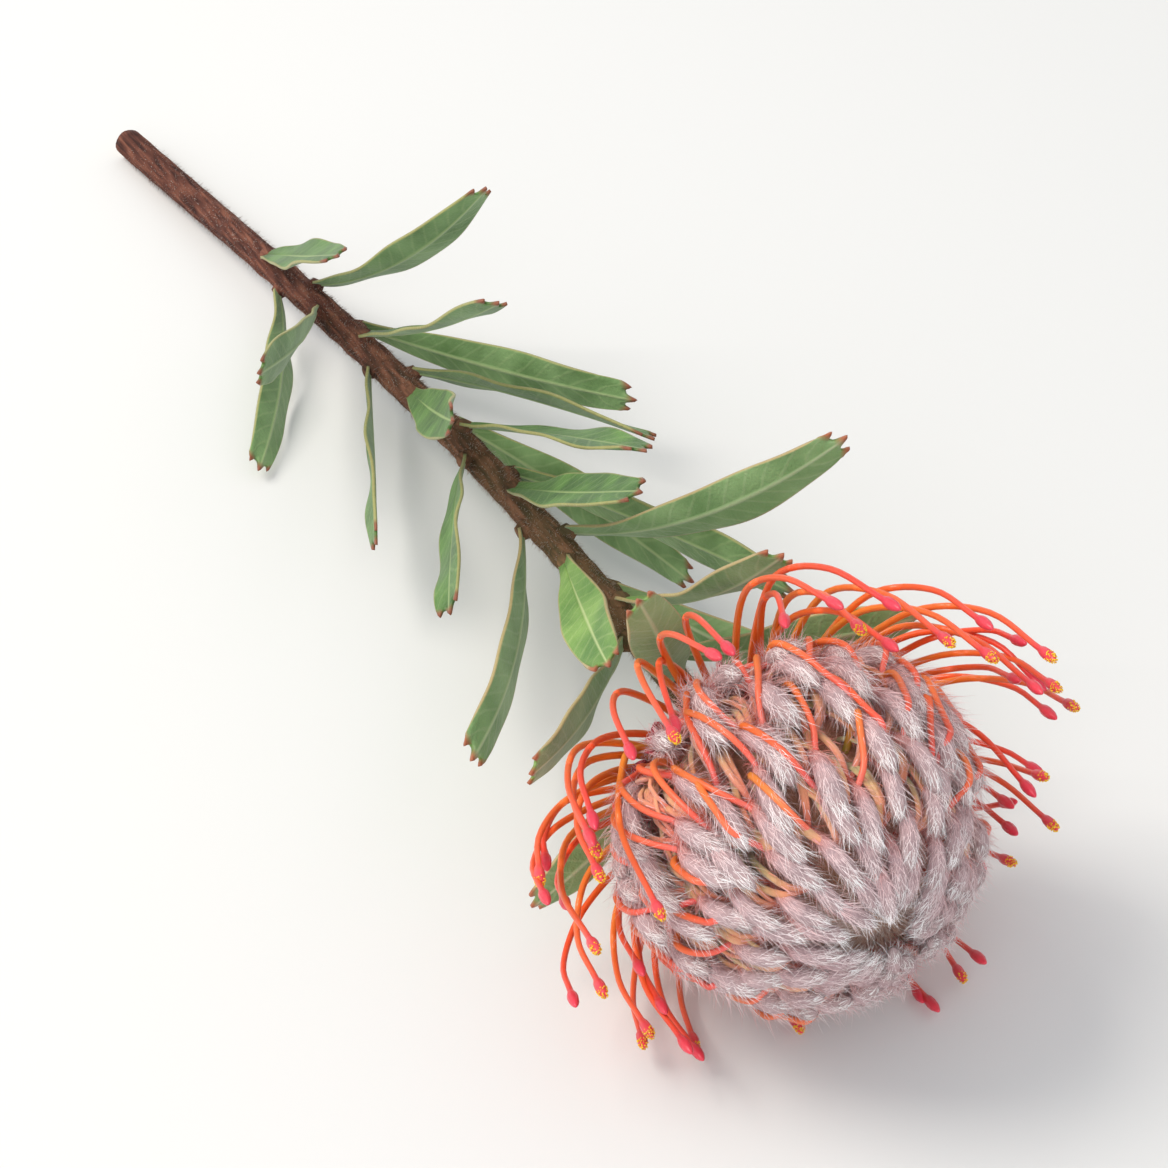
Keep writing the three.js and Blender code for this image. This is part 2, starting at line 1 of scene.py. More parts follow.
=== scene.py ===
"""The looks of a cut tango pincushion protea that lies on a pale surface.

The shoot lies along X with the head towards +X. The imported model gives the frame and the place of
every part, and the classes below dress its sub-assemblies: the stem, its leaves, the bracts under
the head, the silky closed florets on their cone and the styles that loop and spread round them.
Lengths are millimetres in the flower's own frame until a mesh is finished.
"""

import logging
import math
from collections.abc import Sequence
from dataclasses import dataclass
from enum import Enum

import bmesh
import bpy
import numpy as np
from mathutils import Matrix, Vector


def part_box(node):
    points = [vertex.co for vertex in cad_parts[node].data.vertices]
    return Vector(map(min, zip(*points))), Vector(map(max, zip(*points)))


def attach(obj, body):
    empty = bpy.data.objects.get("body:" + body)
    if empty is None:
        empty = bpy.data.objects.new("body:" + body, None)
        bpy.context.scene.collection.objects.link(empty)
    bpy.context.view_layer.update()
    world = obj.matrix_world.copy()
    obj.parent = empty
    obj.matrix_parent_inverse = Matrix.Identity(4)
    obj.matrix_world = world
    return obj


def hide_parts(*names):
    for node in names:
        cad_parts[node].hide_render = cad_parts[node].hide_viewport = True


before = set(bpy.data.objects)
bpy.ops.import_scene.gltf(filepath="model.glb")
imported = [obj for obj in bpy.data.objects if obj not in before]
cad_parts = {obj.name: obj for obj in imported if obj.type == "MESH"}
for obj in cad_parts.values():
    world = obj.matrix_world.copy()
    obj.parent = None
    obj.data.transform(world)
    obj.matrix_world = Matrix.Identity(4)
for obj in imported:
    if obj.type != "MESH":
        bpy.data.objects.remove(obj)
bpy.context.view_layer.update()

LOG = logging.getLogger("flower")
MM = 0.001
UP = np.array([0.0, 0.0, 1.0])
GOLDEN_ANGLE = math.radians(137.508)
STYLE_RADIUS = 0.76
SETTLE_SOFTNESS = 3.0
UV_NAME = "Along"
SUBSURFACE_DEPTH = 1.2 * MM
COAT_ROUGHNESS = 0.25
CUT_TOLERANCE = 1e-6

Limits = tuple[float, float]
Pairs = Sequence[tuple[float, float]]
Ramp = tuple[tuple[float, str], ...]
Socket = bpy.types.NodeSocket
Painted = tuple[Socket, Socket | None]


class Slot(Enum):
    """The finishes that the record names."""

    WOOD = "stem"
    LEAF = "leaf"
    BRACT = "involucre"
    SILK = "silky_perianth"
    STYLE = "style"


class Draw(Enum):
    """One stream of repeatable draws for each thing that varies from copy to copy."""

    LEAF_LENGTH = 11
    LEAF_LEAN = 12
    LEAF_CURL = 13
    LEAF_SWAY = 14
    LEAF_TWIST = 15
    LEAF_AGE = 16
    BUD_DRIFT = 21
    BUD_LIFT = 22
    BUD_TINT = 23
    BUD_SHIFT = 24
    BUD_STEP = 25
    RIBBON_SIDE = 26
    RIBBON_BOW = 27
    BUD_RISE = 28
    BUD_SIZE = 29
    LOOP_BOW = 32
    LOOP_REACH = 33
    LOOP_DRIFT = 34
    LOOP_TINT = 35
    PIN_REACH = 41
    PIN_CLIMB = 42
    PIN_SAG = 43
    PIN_DRIFT = 44
    PIN_TINT = 45
    PIN_SHORTER = 46
    CURL_REACH = 51
    CURL_DRIFT = 52
    CURL_ROLL = 53
    BRACT_RISE = 61


class Seed(Enum):
    """Where the random draws of each coat of hair or dust start."""

    SILK_CROWN = 20
    SILK_SKIRT = 21
    RIBBON = 25
    WOOL = 27
    POLLEN = 31
    CURL = 41
    BRACT = 51
    STEM = 61


def jitter(index: int, stream: Draw) -> float:
    """Draws a repeatable number between 0 and 1 for one copy and one thing that varies."""
    value = math.sin(index * 12.9898 + stream.value * 78.233) * 43758.5453
    return value - math.floor(value)


def lerp(first: float, second: float, share: float | np.ndarray) -> float | np.ndarray:
    """Mixes two numbers, by one share or by many."""
    return first + (second - first) * share


def spread(index: int, stream: Draw, limits: Limits) -> float:
    """Draws a repeatable number between two limits."""
    return lerp(*limits, jitter(index, stream))


def smoothstep(value: float | np.ndarray, low: float, high: float) -> float | np.ndarray:
    """Rises smoothly from 0 at the low value to 1 at the high one."""
    share = np.clip((value - low) / (high - low), 0, 1)
    return share * share * (3 - 2 * share)


def ease(value: float, limits: Limits) -> float:
    """Rises smoothly from 0 at the first limit to 1 at the second."""
    return float(smoothstep(value, *limits))


def unit(vectors: np.ndarray) -> np.ndarray:
    """Scales vectors to a length of 1 along the last axis."""
    return vectors / np.linalg.norm(vectors, axis=-1, keepdims=True)


def settle(points: np.ndarray, height: float, softness: float = SETTLE_SOFTNESS) -> np.ndarray:
    """Lays along the surface what would sink below it, with a soft turn.

    Args:
        points: Rows of x, y, z.
        height: The height above the surface at which it comes to lie.
        softness: How far above that height the turn starts.

    Returns:
        The settled points.
    """
    above = points[:, 2] - height
    laid = height + softness * np.exp(np.minimum(above - softness, 0) / softness)
    settled = points.copy()
    settled[:, 2] = np.where(above < softness, laid, points[:, 2])
    return settled


def smooth_line(marks: np.ndarray, steps: int) -> np.ndarray:
    """Draws a smooth line through marks, by the centripetal Catmull-Rom rule.

    Args:
        marks: Rows of x, y, z that the line passes through.
        steps: How many steps the line has.

    Returns:
        The points of the line, one more than its steps.
    """
    ends = np.vstack([2 * marks[0] - marks[1], marks, 2 * marks[-1] - marks[-2]])
    points = []
    for step in range(steps + 1):
        at = step / steps * (len(marks) - 1)
        first = min(int(at), len(marks) - 2)
        a, b, c, d = ends[first:first + 4]
        ab, bc, cd = (math.sqrt(np.linalg.norm(q - p)) for p, q in ((a, b), (b, c), (c, d)))
        leaving = ((b - a) / ab - (c - a) / (ab + bc) + (c - b) / bc) * bc
        arriving = ((c - b) / bc - (d - b) / (bc + cd) + (d - c) / cd) * bc
        t = at - first
        points.append(
            b + leaving * t
            + (3 * (c - b) - 2 * leaving - arriving) * t ** 2
            + (2 * (b - c) + leaving + arriving) * t ** 3
        )
    return np.array(points)


class Sweep:
    """A line through space with a frame at each of its points, which bends straight shapes."""

    def __init__(self, points: np.ndarray, facing: np.ndarray) -> None:
        """Carries a facing direction along a line without any turn of its own.

        Args:
            points: Rows of x, y, z.
            facing: The direction that a straight shape's x axis takes at the first point.
        """
        steps = np.linalg.norm(np.diff(points, axis=0), axis=1)
        self.points = points
        self.at = np.concatenate([[0.0], np.cumsum(steps)])
        self.length = float(self.at[-1])
        self.along = unit(np.gradient(points, self.at, axis=0))
        carried = []
        for along in self.along:
            facing = unit(facing - along * float(facing @ along))
            carried.append(facing)
        self.facing = np.array(carried)

    def _read(self, values: np.ndarray, at: np.ndarray) -> np.ndarray:
        """Reads rows of values between the points of the line."""
        return np.stack([np.interp(at, self.at, column) for column in values.T], axis=1)

    def bend(self, straight: np.ndarray) -> np.ndarray:
        """Bends a straight shape along the line.

        Args:
            straight: Rows of x and y across the line and z along it, in mm.

        Returns:
            The bent shape's points.
        """
        at = np.clip(straight[:, 2], 0, self.length)
        along = unit(self._read(self.along, at))
        facing = self._read(self.facing, at)
        facing = unit(facing - along * np.sum(facing * along, axis=1, keepdims=True))
        side = np.cross(along, facing)
        return (
            self._read(self.points, at)
            + along * (straight[:, 2] - at)[:, None]
            + facing * straight[:, :1]
            + side * straight[:, 1:2]
        )

    def point(self, share: float) -> np.ndarray:
        """Gives the point at a share of the line's length."""
        return self._read(self.points, np.array([share * self.length]))[0]


@dataclass(frozen=True)
class Shoot:
    """The centre line of the shoot: share 0 is the cut end and 1 the base of the head."""

    run: float = 338.0
    bow: float = 9.0
    rise_power: float = 1.25
    radius_cut: float = 4.2
    radius_top: float = 3.3
    head_base_height: float = 41.0
    cup_depth: float = 10.5

    def point(self, share: float) -> np.ndarray:
        """Gives a point of the centre line."""
        rise = self.head_base_height - self.radius_cut
        return np.array([
            -self.run * (1 - share),
            self.bow * math.sin(math.pi * share),
            self.radius_cut + rise * max(share, 0.0) ** self.rise_power,
        ])

    def radius(self, share: float) -> float:
        """Gives the wood's radius."""
        return lerp(self.radius_cut, self.radius_top, share)

    def frame_along(self, share: float) -> tuple[np.ndarray, np.ndarray, np.ndarray]:
        """Gives the directions forward, sideways and up at a point of the line."""
        step = 0.002
        forward = unit(self.point(share) - self.point(share - step))
        side = unit(np.cross(forward, UP))
        return forward, side, unit(np.cross(side, forward))

    def outward(self, share: float, turn: float) -> np.ndarray:
        """Gives a direction square to the shoot, at a turn from straight up."""
        _, side, up = self.frame_along(share)
        return up * math.cos(turn) + side * math.sin(turn)


SHOOT = Shoot()


@dataclass(frozen=True)
class Dome:
    """The outline of the head along its own axis: share 0 is the crown and 1 the lower rim."""

    radius: float = 35.5
    rim_radius: float = 25.0
    rim_at: float = 8.0
    widest_at: float = 19.0
    widest_share: float = 0.72
    crown_at: float = 61.0
    shoulder: float = 0.95
    floor_at: float = 5.0
    foot_radius: float = 19.0
    foot_at: float = 2.6
    foot_share: float = 0.1
    girth: float = 92.0

    def outline(self, share: float) -> tuple[float, float]:
        """Gives the distance from the axis and the height along it."""
        if share < self.widest_share:
            angle = share / self.widest_share * math.pi / 2
            height = lerp(self.widest_at, self.crown_at, math.cos(angle))
            return self.radius * math.sin(angle) ** self.shoulder, height
        angle = (share - self.widest_share) / (1 - self.widest_share) * math.pi / 2
        radius = lerp(self.rim_radius, self.radius, math.cos(angle))
        return radius, lerp(self.widest_at, self.rim_at, math.sin(angle))

    def flank(self, share: float) -> tuple[float, float]:
        """Gives the outline, carried on below the rim to the foot of the head."""
        if share <= 1:
            return self.outline(share)
        below = min((share - 1) / self.foot_share, 1)
        radius = lerp(self.rim_radius, self.foot_radius, below)
        return radius, lerp(self.rim_at, self.foot_at, below)

    def point(self, radius: float, height: float, turn: float) -> np.ndarray:
        """Gives a point from its distance to the head's axis, its height and its turn."""
        forward = SHOOT.frame_along(1)[0]
        return SHOOT.point(1) + forward * height + SHOOT.outward(1, turn) * radius

    def line(self, marks: Pairs, turns: Sequence[float]) -> np.ndarray:
        """Places marks of radius and height at their turns."""
        return np.array([self.point(r, h, turn) for (r, h), turn in zip(marks, turns)])

    def turned(self, outline: Pairs, steps: int) -> bmesh.types.BMesh:
        """Turns an outline of radius and height once round the head's axis.

        Args:
            outline: Pairs of radius and height, which start and end on the axis.
            steps: How many steps the turn has.

        Returns:
            The turned body, in mm.
        """
        bm = bmesh.new()
        corners = [bm.verts.new(self.point(radius, height, 0)) for radius, height in outline]
        edges = [bm.edges.new(pair) for pair in zip(corners, corners[1:])]
        bmesh.ops.spin(
            bm, geom=corners + edges, cent=SHOOT.point(1), axis=SHOOT.frame_along(1)[0],
            angle=2 * math.pi, steps=steps, use_merge=True,
        )
        bmesh.ops.remove_doubles(bm, verts=bm.verts[:], dist=1e-3)
        bmesh.ops.recalc_face_normals(bm, faces=bm.faces[:])
        return bm


DOME = Dome()


def flower_origin() -> np.ndarray:
    """Finds the flower's own origin in the frame, from the ring at the stem's cut end."""
    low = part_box("stem")[0]
    ring_depth = 0.0015
    ring = {
        tuple(round(value, 6) for value in vertex.co)
        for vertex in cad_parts["stem"].data.vertices
        if vertex.co.x < low.x + ring_depth
    }
    origin = np.mean(np.array(list(ring)), axis=0) / MM - SHOOT.point(0)
    origin[2] = 0.0
    return origin


ORIGIN = flower_origin()


def linear(colour: str) -> tuple[float, float, float, float]:
    """Turns an sRGB hex colour into linear red, green, blue and alpha."""
    channels = [int(colour[at:at + 2], 16) / 255 for at in (1, 3, 5)]
    red, green, blue = (
        value / 12.92 if value <= 0.04045 else ((value + 0.055) / 1.055) ** 2.4
        for value in channels
    )
    return red, green, blue, 1.0


def add_node(
    tree: bpy.types.NodeTree,
    kind: str,
    links: dict[str | int, object] | None = None,
    stops: Ramp = (),
    **settings: object,
) -> bpy.types.Node:
    """Adds one shader node.

    Args:
        tree: The material's node tree.
        kind: The node's type without its ShaderNode prefix.
        links: For each input, the socket that feeds it or its value.
        stops: A colour ramp's places and hex colours.
        settings: The node's own properties.

    Returns:
        The new node.
    """
    node = tree.nodes.new("ShaderNode" + kind)
    for name, value in settings.items():
        setattr(node, name, value)
    for name, value in (links or {}).items():
        if isinstance(value, bpy.types.NodeSocket):
            tree.links.new(value, node.inputs[name])
        else:
            node.inputs[name].default_value = value
    for place, (at, colour) in enumerate(stops):
        elements = node.color_ramp.elements
        stop = elements[place] if place < 2 else elements.new(at)
        stop.position = at
        stop.color = linear(colour)
    return node


class Painter:
    """Paints with one material's nodes: each method adds some, and gives back what they give."""

    def __init__(self, tree: bpy.types.NodeTree) -> None:
        """Starts with the material's node tree."""
        self.tree = tree

    def maths(self, operation: str, *values: object, clamp: bool = False) -> Socket:
        """Works out one number from up to three."""
        links = dict(enumerate(values))
        node = add_node(self.tree, "Math", links, operation=operation, use_clamp=clamp)
        return node.outputs[0]

    def fade(self, value: Socket, low: float, high: float, top: float = 1.0) -> Socket:
        """Rises evenly from 0 at the low value to the top at the high one."""
        links = {"Value": value, "From Min": low, "From Max": high, "To Max": top}
        return add_node(self.tree, "MapRange", links).outputs["Result"]

    def ramp(self, value: Socket, stops: Ramp) -> Socket:
        """Colours a number by a ramp."""
        return add_node(self.tree, "ValToRGB", {"Fac": value}, stops=stops).outputs["Color"]

    def mix(self, share: Socket, first: object, second: object) -> Socket:
        """Mixes two colours."""
        links = {"Factor": share, 6: first, 7: second}
        return add_node(self.tree, "Mix", links, data_type="RGBA").outputs[2]

    def split(self, place: Socket) -> tuple[Socket, Socket]:
        """Gives the first two numbers of a place."""
        parts = add_node(self.tree, "SeparateXYZ", {"Vector": place}).outputs
        return parts["X"], parts["Y"]

    def mapped(self) -> tuple[Socket, Socket]:
        """Reads the two numbers of the UV map."""
        return self.split(add_node(self.tree, "UVMap", uv_map=UV_NAME).outputs["UV"])

    def place(self) -> Socket:
        """Reads the place in the object's own coordinates."""
        return add_node(self.tree, "TexCoord").outputs["Object"]

    def grain(
        self, size: float, stretch: tuple[float, float, float] = (1, 1, 1), detail: float = 3.0,
    ) -> Socket:
        """Makes a noise in the object's own coordinates.

        Args:
            size: The size of its grains in mm.
            stretch: How many times finer it is along each axis.
            detail: How many finer layers it has.

        Returns:
            The noise's value.
        """
        scaled = add_node(self.tree, "Mapping", {"Vector": self.place(), "Scale": stretch})
        return add_node(self.tree, "TexNoise", {
            "Vector": scaled.outputs["Vector"], "Scale": 1 / (size * MM), "Detail": detail,
        }).outputs["Fac"]


@dataclass(frozen=True)
class Finish:
    """What all finishes share: a named material round one shader, with fixed surface values."""

    name: str
    roughness: float = 0.6
    specular: float = 0.5
    sheen: float = 0.0
    subsurface: float = 0.0
    coat: float = 0.0
    bump: float = 0.0

    def material(self) -> bpy.types.Material:
        """Makes the material once, and gives the same one back after that."""
        made = bpy.data.materials.get(self.name)
        if made is not None:
            return made
        made = bpy.data.materials.new(self.name)
        made.use_nodes = True
        tree = made.node_tree
        shader = tree.nodes["Principled BSDF"]
        fixed = {
            "Roughness": self.roughness, "Specular IOR Level": self.specular,
            "Sheen Weight": self.sheen,
            "Subsurface Weight": self.subsurface, "Subsurface Scale": SUBSURFACE_DEPTH,
            "Coat Weight": self.coat, "Coat Roughness": COAT_ROUGHNESS,
        }
        for name, value in fixed.items():
            shader.inputs[name].default_value = value
        colour, relief = self.pattern(Painter(tree))
        tree.links.new(colour, shader.inputs["Base Color"])
        if relief is not None:
            bump = add_node(tree, "Bump", {"Strength": self.bump, "Distance": MM, "Height": relief})
            tree.links.new(bump.outputs["Normal"], shader.inputs["Normal"])
        return made

    def pattern(self, paint: Painter) -> Painted:
        """Paints the colour, and the height of the relief if there is one."""
        raise NotImplementedError


@dataclass(frozen=True)
class AlongFinish(Finish):
    """A finish whose colour runs along each copy, and leans to a second run by the copy's tint."""

    pale: Ramp = ()
    deep: Ramp = ()
    grain_size: float = 0.6
    mottle: float = 0.25

    def pattern(self, paint: Painter) -> Painted:
        """Mixes the two runs of colour by the tint and by a fine mottle."""
        along, tint = paint.mapped()
        noise = paint.grain(self.grain_size)
        centred = paint.maths("SUBTRACT", noise, 0.5)
        varied = paint.maths("MULTIPLY_ADD", centred, self.mottle * 2, tint, clamp=True)
        colour = paint.mix(varied, paint.ramp(along, self.pale), paint.ramp(along, self.deep))
        return colour, noise if self.bump else None


# Felted skin of a closed perianth: matt, mauve and brown where the hairs let it show
SILKY_SKIN = AlongFinish(
    "felted_perianth_skin", roughness=0.85, specular=0.2, sheen=0.1, bump=0.5,
    pale=((0.0, "#e9a06c"), (0.38, "#f4806c"), (0.52, "#e6a09a"), (0.68, "#d2b4b5"), (1, "#c8b0af")),
    deep=((0.0, "#d48050"), (0.38, "#e0645a"), (0.52, "#cc8a86"), (0.68, "#b8999c"), (1, "#a38988")),
)
# Silk: long shiny hairs, silver over mauve and blushed where the style pushes out below
SILK_HAIR = AlongFinish(
    "silver_silk_hair", roughness=0.5, specular=0.4, sheen=0.5, grain_size=3.0, mottle=0.12,
    pale=((0.0, "#fba388"), (0.42, "#fba996"), (0.6, "#f6d2d2"), (0.8, "#f9ecec"), (0.9, "#fffdfc")),
    deep=((0.0, "#ee7a60"), (0.42, "#ee8070"), (0.6, "#dcacad"), (0.8, "#d8bcbc"), (0.9, "#f2e8e5")),
)
# Waxy living tissue: smooth, a little translucent, yellow-green at the root and pink at the tip
LOOP_WAX = AlongFinish(
    "waxy_style_held", roughness=0.36, specular=0.45, subsurface=0.15, coat=0.1,
    pale=((0.0, "#cfd25a"), (0.14, "#f7b345"), (0.4, "#ff8f42"), (0.78, "#ff7558"), (1, "#f49a98")),
    deep=((0.0, "#dcc04e"), (0.14, "#fb8f3a"), (0.4, "#fd6a38"), (0.78, "#f65650"), (1, "#e87882")),
)
# The same tissue once the style has sprung free: drier, deeper orange, pink at its tip
PIN_WAX = AlongFinish(
    "waxy_style_released", roughness=0.34, specular=0.45, subsurface=0.15, coat=0.15,
    pale=((0.0, "#dcd055"), (0.12, "#ffa83c"), (0.5, "#ff8434"), (0.88, "#ff6440"), (0.94, "#f8505a")),
    deep=((0.0, "#e8b845"), (0.12, "#fd7e30"), (0.5, "#fb562a"), (0.88, "#f34436"), (0.94, "#ee3a52")),
)
# Downy perianth tube below the club: cream and olive low down, blushed higher up
RIBBON_DOWN = AlongFinish(
    "downy_perianth_tube", roughness=0.7, specular=0.3, sheen=0.4, bump=0.3,
    pale=((0.0, "#cfd28c"), (0.26, "#dccb90"), (0.52, "#efae86"), (0.8, "#f08e7c"), (1, "#ec8a84")),
    deep=((0.0, "#a9ae66"), (0.26, "#b8a56c"), (0.52, "#dc8e68"), (0.8, "#dc6c5a"), (1, "#d86a66")),
)
# Perianth segments that have rolled back: deep crimson, drying, with a silky outer side
CURL_SKIN = AlongFinish(
    "rolled_crimson_perianth", roughness=0.55, specular=0.4, sheen=0.2, bump=0.4,
    pale=((0.0, "#e0734f"), (0.4, "#cf3f4e"), (1, "#a62943")),
    deep=((0.0, "#c24a45"), (0.4, "#a02238"), (1, "#74182e")),
)
# Sparse silk on the rolled segments: silver over rose
CURL_HAIR = AlongFinish(
    "silver_rose_hair", roughness=0.45, sheen=0.4,
    pale=((0.0, "#f3d6d4"), (1, "#f0e6e8")), deep=((0.0, "#dba0a2"), (1, "#c7a3ab")),
)
# Bract: thin dry scale, green-brown with a reddish point, hidden under grey down
BRACT_SKIN = AlongFinish(
    "dry_downy_bract", roughness=0.75, specular=0.3, sheen=0.3, bump=0.5,
    pale=((0.0, "#9aa06a"), (0.55, "#a3875f"), (0.85, "#8f5a44"), (1, "#6d3b30")),
    deep=((0.0, "#7c8450"), (0.55, "#86694a"), (0.85, "#6f4234"), (1, "#4f2a24")),
)
# Down of the bracts: short, dull, grey and cream
BRACT_HAIR = AlongFinish(
    "grey_bract_down", roughness=0.55, sheen=0.5,
    pale=((0.0, "#d9d3c4"), (1, "#eae4dc")), deep=((0.0, "#b3a896"), (1, "#c4b8ac")),
)
# Down of the shoot: fine, grey over brown
STEM_HAIR = AlongFinish(
    "grey_stem_down", roughness=0.6, sheen=0.4,
    pale=((0.0, "#cfc1b4"), (1, "#e2d8cf")), deep=((0.0, "#9c8372"), (1, "#b39c8c")),
)
# Pollen: dry yellow dust held by the tip
POLLEN_DUST = AlongFinish(
    "yellow_pollen", roughness=0.9, specular=0.2,
    pale=((0.0, "#ffd84a"), (1, "#ffd84a")), deep=((0.0, "#e8b02c"), (1, "#e8b02c")),
)
# Dense short wool between the florets: coral low on the head, khaki and cream at the crown
CORE_WOOL = AlongFinish(
    "coral_and_khaki_wool", roughness=0.8, specular=0.2, sheen=0.4,
    pale=((0.0, "#f29a84"), (0.35, "#fab59c"), (0.7, "#f8cfb8"), (1, "#f6e2d2")),
    deep=((0.0, "#d0605a"), (0.35, "#e08470"), (0.7, "#e2a58c"), (1, "#dcbca4")),
)
# Core seen between the florets: brown felt in deep shade
CORE_FELT = AlongFinish(
    "brown_core_felt", roughness=0.95, specular=0.15, sheen=0.3, bump=0.6,
    pale=((0.0, "#dcac90"), (1, "#dcac90")), deep=((0.0, "#c48a6e"), (1, "#c48a6e")),
)


@dataclass(frozen=True)
class Bark(Finish):
    """Thin living bark: matt, reddish brown with paler cracks that run along the shoot."""

    low: str = "#3f241e"
    middle: str = "#643a2e"
    high: str = "#8a5845"
    green: str = "#93905c"
    fissure_size: float = 1.3
    blotch_size: float = 9.0
    greening: tuple[float, float, float] = (-0.08, 0.14, 0.6)

    def pattern(self, paint: Painter) -> Painted:
        """Runs fine fissures along the shoot and greener skin towards the head."""
        fissures = paint.grain(self.fissure_size, stretch=(0.12, 1, 1), detail=6.0)
        blotches = paint.grain(self.blotch_size, stretch=(0.5, 1, 1))
        brown = paint.ramp(fissures, ((0.34, self.low), (0.5, self.middle), (0.68, self.high)))
        young = paint.fade(paint.split(paint.place())[0], *self.greening)
        greener = paint.maths("MULTIPLY", young, blotches, clamp=True)
        return paint.mix(greener, brown, linear(self.green)), fissures


@dataclass(frozen=True)
class CutWood(Finish):
    """Freshly cut soft wood: pale, matt, with faint rings."""

    colour: str = "#d8c394"
    shade: str = "#b79c68"

    def pattern(self, paint: Painter) -> Painted:
        """Speckles the cut with the ends of its vessels."""
        pores = paint.grain(0.5)
        return paint.ramp(pores, ((0.35, self.shade), (0.6, self.colour))), pores


BARK = Bark("reddish_brown_bark", roughness=0.82, specular=0.3, bump=0.9)
SAPWOOD = CutWood("pale_cut_sapwood", roughness=0.8, specular=0.2, bump=0.3)
PITH = CutWood(
    "brown_pith", roughness=0.9, specular=0.2, bump=0.3, colour="#9a7a4c", shade="#7d5f38",
)


@dataclass(frozen=True)
class LeafSkin(Finish):
    """One side of a leathery leaf: a satin cuticle with a midrib, side veins and a dry margin.

    Places across the blade run from 0 at its midrib to 1 at its margin.
    """

    low: str = "#34581f"
    high: str = "#5f893a"
    rib: str = "#a9bd7c"
    margin: str = "#b3a86c"
    callus: str = "#8f5238"
    patch_size: float = 11.0
    fine_size: float = 0.8
    vein_pitch: float = 0.07
    vein_slant: float = -0.09
    vein_wobble: float = 0.06
    vein_fade: tuple[float, float, float] = (0.7, 1.0, 0.16)
    rib_fade: tuple[float, float, float] = (0.1, 0.02, 0.7)
    margin_fade: tuple[float, float, float] = (0.93, 1.0, 0.7)
    tooth_pitch: float = 0.78
    tooth_depth: float = 0.02
    callus_fade: Limits = (0.985, 1.01)

    def pattern(self, paint: Painter) -> Painted:
        """Draws veins and margin from the place across and along the blade."""
        across, along = paint.mapped()
        centred = paint.maths("SUBTRACT", across, 0.5)
        side = paint.maths("ABSOLUTE", paint.maths("MULTIPLY", centred, 2.0))
        patches = paint.grain(self.patch_size)
        body = paint.ramp(patches, ((0.3, self.low), (0.7, self.high)))
        slanted = paint.maths("MULTIPLY_ADD", side, self.vein_slant, along)
        wobbly = paint.maths("MULTIPLY_ADD", patches, self.vein_wobble, slanted)
        phase = paint.maths("MULTIPLY", wobbly, 2 * math.pi / self.vein_pitch)
        vein = paint.fade(paint.maths("SINE", phase), *self.vein_fade)
        line = paint.maths("MAXIMUM", vein, paint.fade(side, *self.rib_fade))
        veined = paint.mix(line, body, linear(self.rib))
        edged = paint.mix(paint.fade(side, *self.margin_fade), veined, linear(self.margin))
        turned = paint.maths("MULTIPLY", side, 2 * math.pi / self.tooth_pitch)
        teeth = paint.maths("COSINE", turned)
        reaching = paint.maths("MULTIPLY_ADD", teeth, self.tooth_depth, along)
        tipped = paint.mix(paint.fade(reaching, *self.callus_fade), edged, linear(self.callus))
        return tipped, paint.maths("SUBTRACT", line, paint.grain(self.fine_size))


LEAF_SIDES = {
    "grown": (
        LeafSkin("leathery_leaf_upper", roughness=0.48, specular=0.45, sheen=0.1, bump=0.35),
        LeafSkin(
            "leathery_leaf_lower", roughness=0.66, specular=0.3, sheen=0.25, bump=0.3,
            low="#5b7d44", high="#86a66c", rib="#b3c48c",
        ),
    ),
    "young": (
        LeafSkin(
            "young_leaf_upper", roughness=0.5, specular=0.45, sheen=0.12, bump=0.25,
            low="#547f30", high="#86aa54", rib="#c3cf92", margin="#c9a47a", callus="#a8603f",
        ),
        LeafSkin(
            "young_leaf_lower", roughness=0.66, specular=0.3, sheen=0.25, bump=0.3,
            low="#71955a", high="#99b87e", rib="#c9d4a8", margin="#c9a47a", callus="#a8603f",
        ),
    ),
}


def tube_template(
    name: str, sides: int, rings: int | Sequence[float], pointed: bool = False,
) -> bpy.types.Mesh:
    """Makes a straight tube of radius 1 from z 0 to z 1 that is closed at both ends.

    Args:
        name: The mesh's name.
        sides: How many sides it has.
        rings: How many even steps it has along z, or the places of its rings after the first.
        pointed: Whether its far end closes in a point.

    Returns:
        The mesh, whose UV map holds the place along it.
    """
    bm = bmesh.new()
    bmesh.ops.create_circle(bm, cap_ends=True, segments=sides, radius=1.0)
    top = bm.faces[:]
    places = np.linspace(0, 1, rings + 1)[1:] if isinstance(rings, int) else rings
    for step in np.diff(places, prepend=0.0):
        grown = bmesh.ops.extrude_face_region(bm, geom=top)["geom"]
        top = [item for item in grown if isinstance(item, bmesh.types.BMFace)]
        corners = list({corner for face in top for corner in face.verts})
        bmesh.ops.translate(bm, verts=corners, vec=(0, 0, step))
    if pointed:
        bmesh.ops.pointmerge(bm, verts=corners, merge_co=(0, 0, 1))
    bmesh.ops.recalc_face_normals(bm, faces=bm.faces[:])
    return finished_template(name, bm)


def finished_mesh(name: str, bm: bmesh.types.BMesh) -> bpy.types.Mesh:
    """Turns an edited body into a mesh."""
    mesh = bpy.data.meshes.new(name)
    bm.to_mesh(mesh)
    bm.free()
    return mesh


def finished_template(name: str, bm: bmesh.types.BMesh) -> bpy.types.Mesh:
    """Writes z as the place along the template in its UV map, and makes the mesh."""
    layer = bm.loops.layers.uv.new(UV_NAME)
    for face in bm.faces:
        for loop in face.loops:
            loop[layer].uv = (loop.vert.co.z, 0.0)
    return finished_mesh(name, bm)


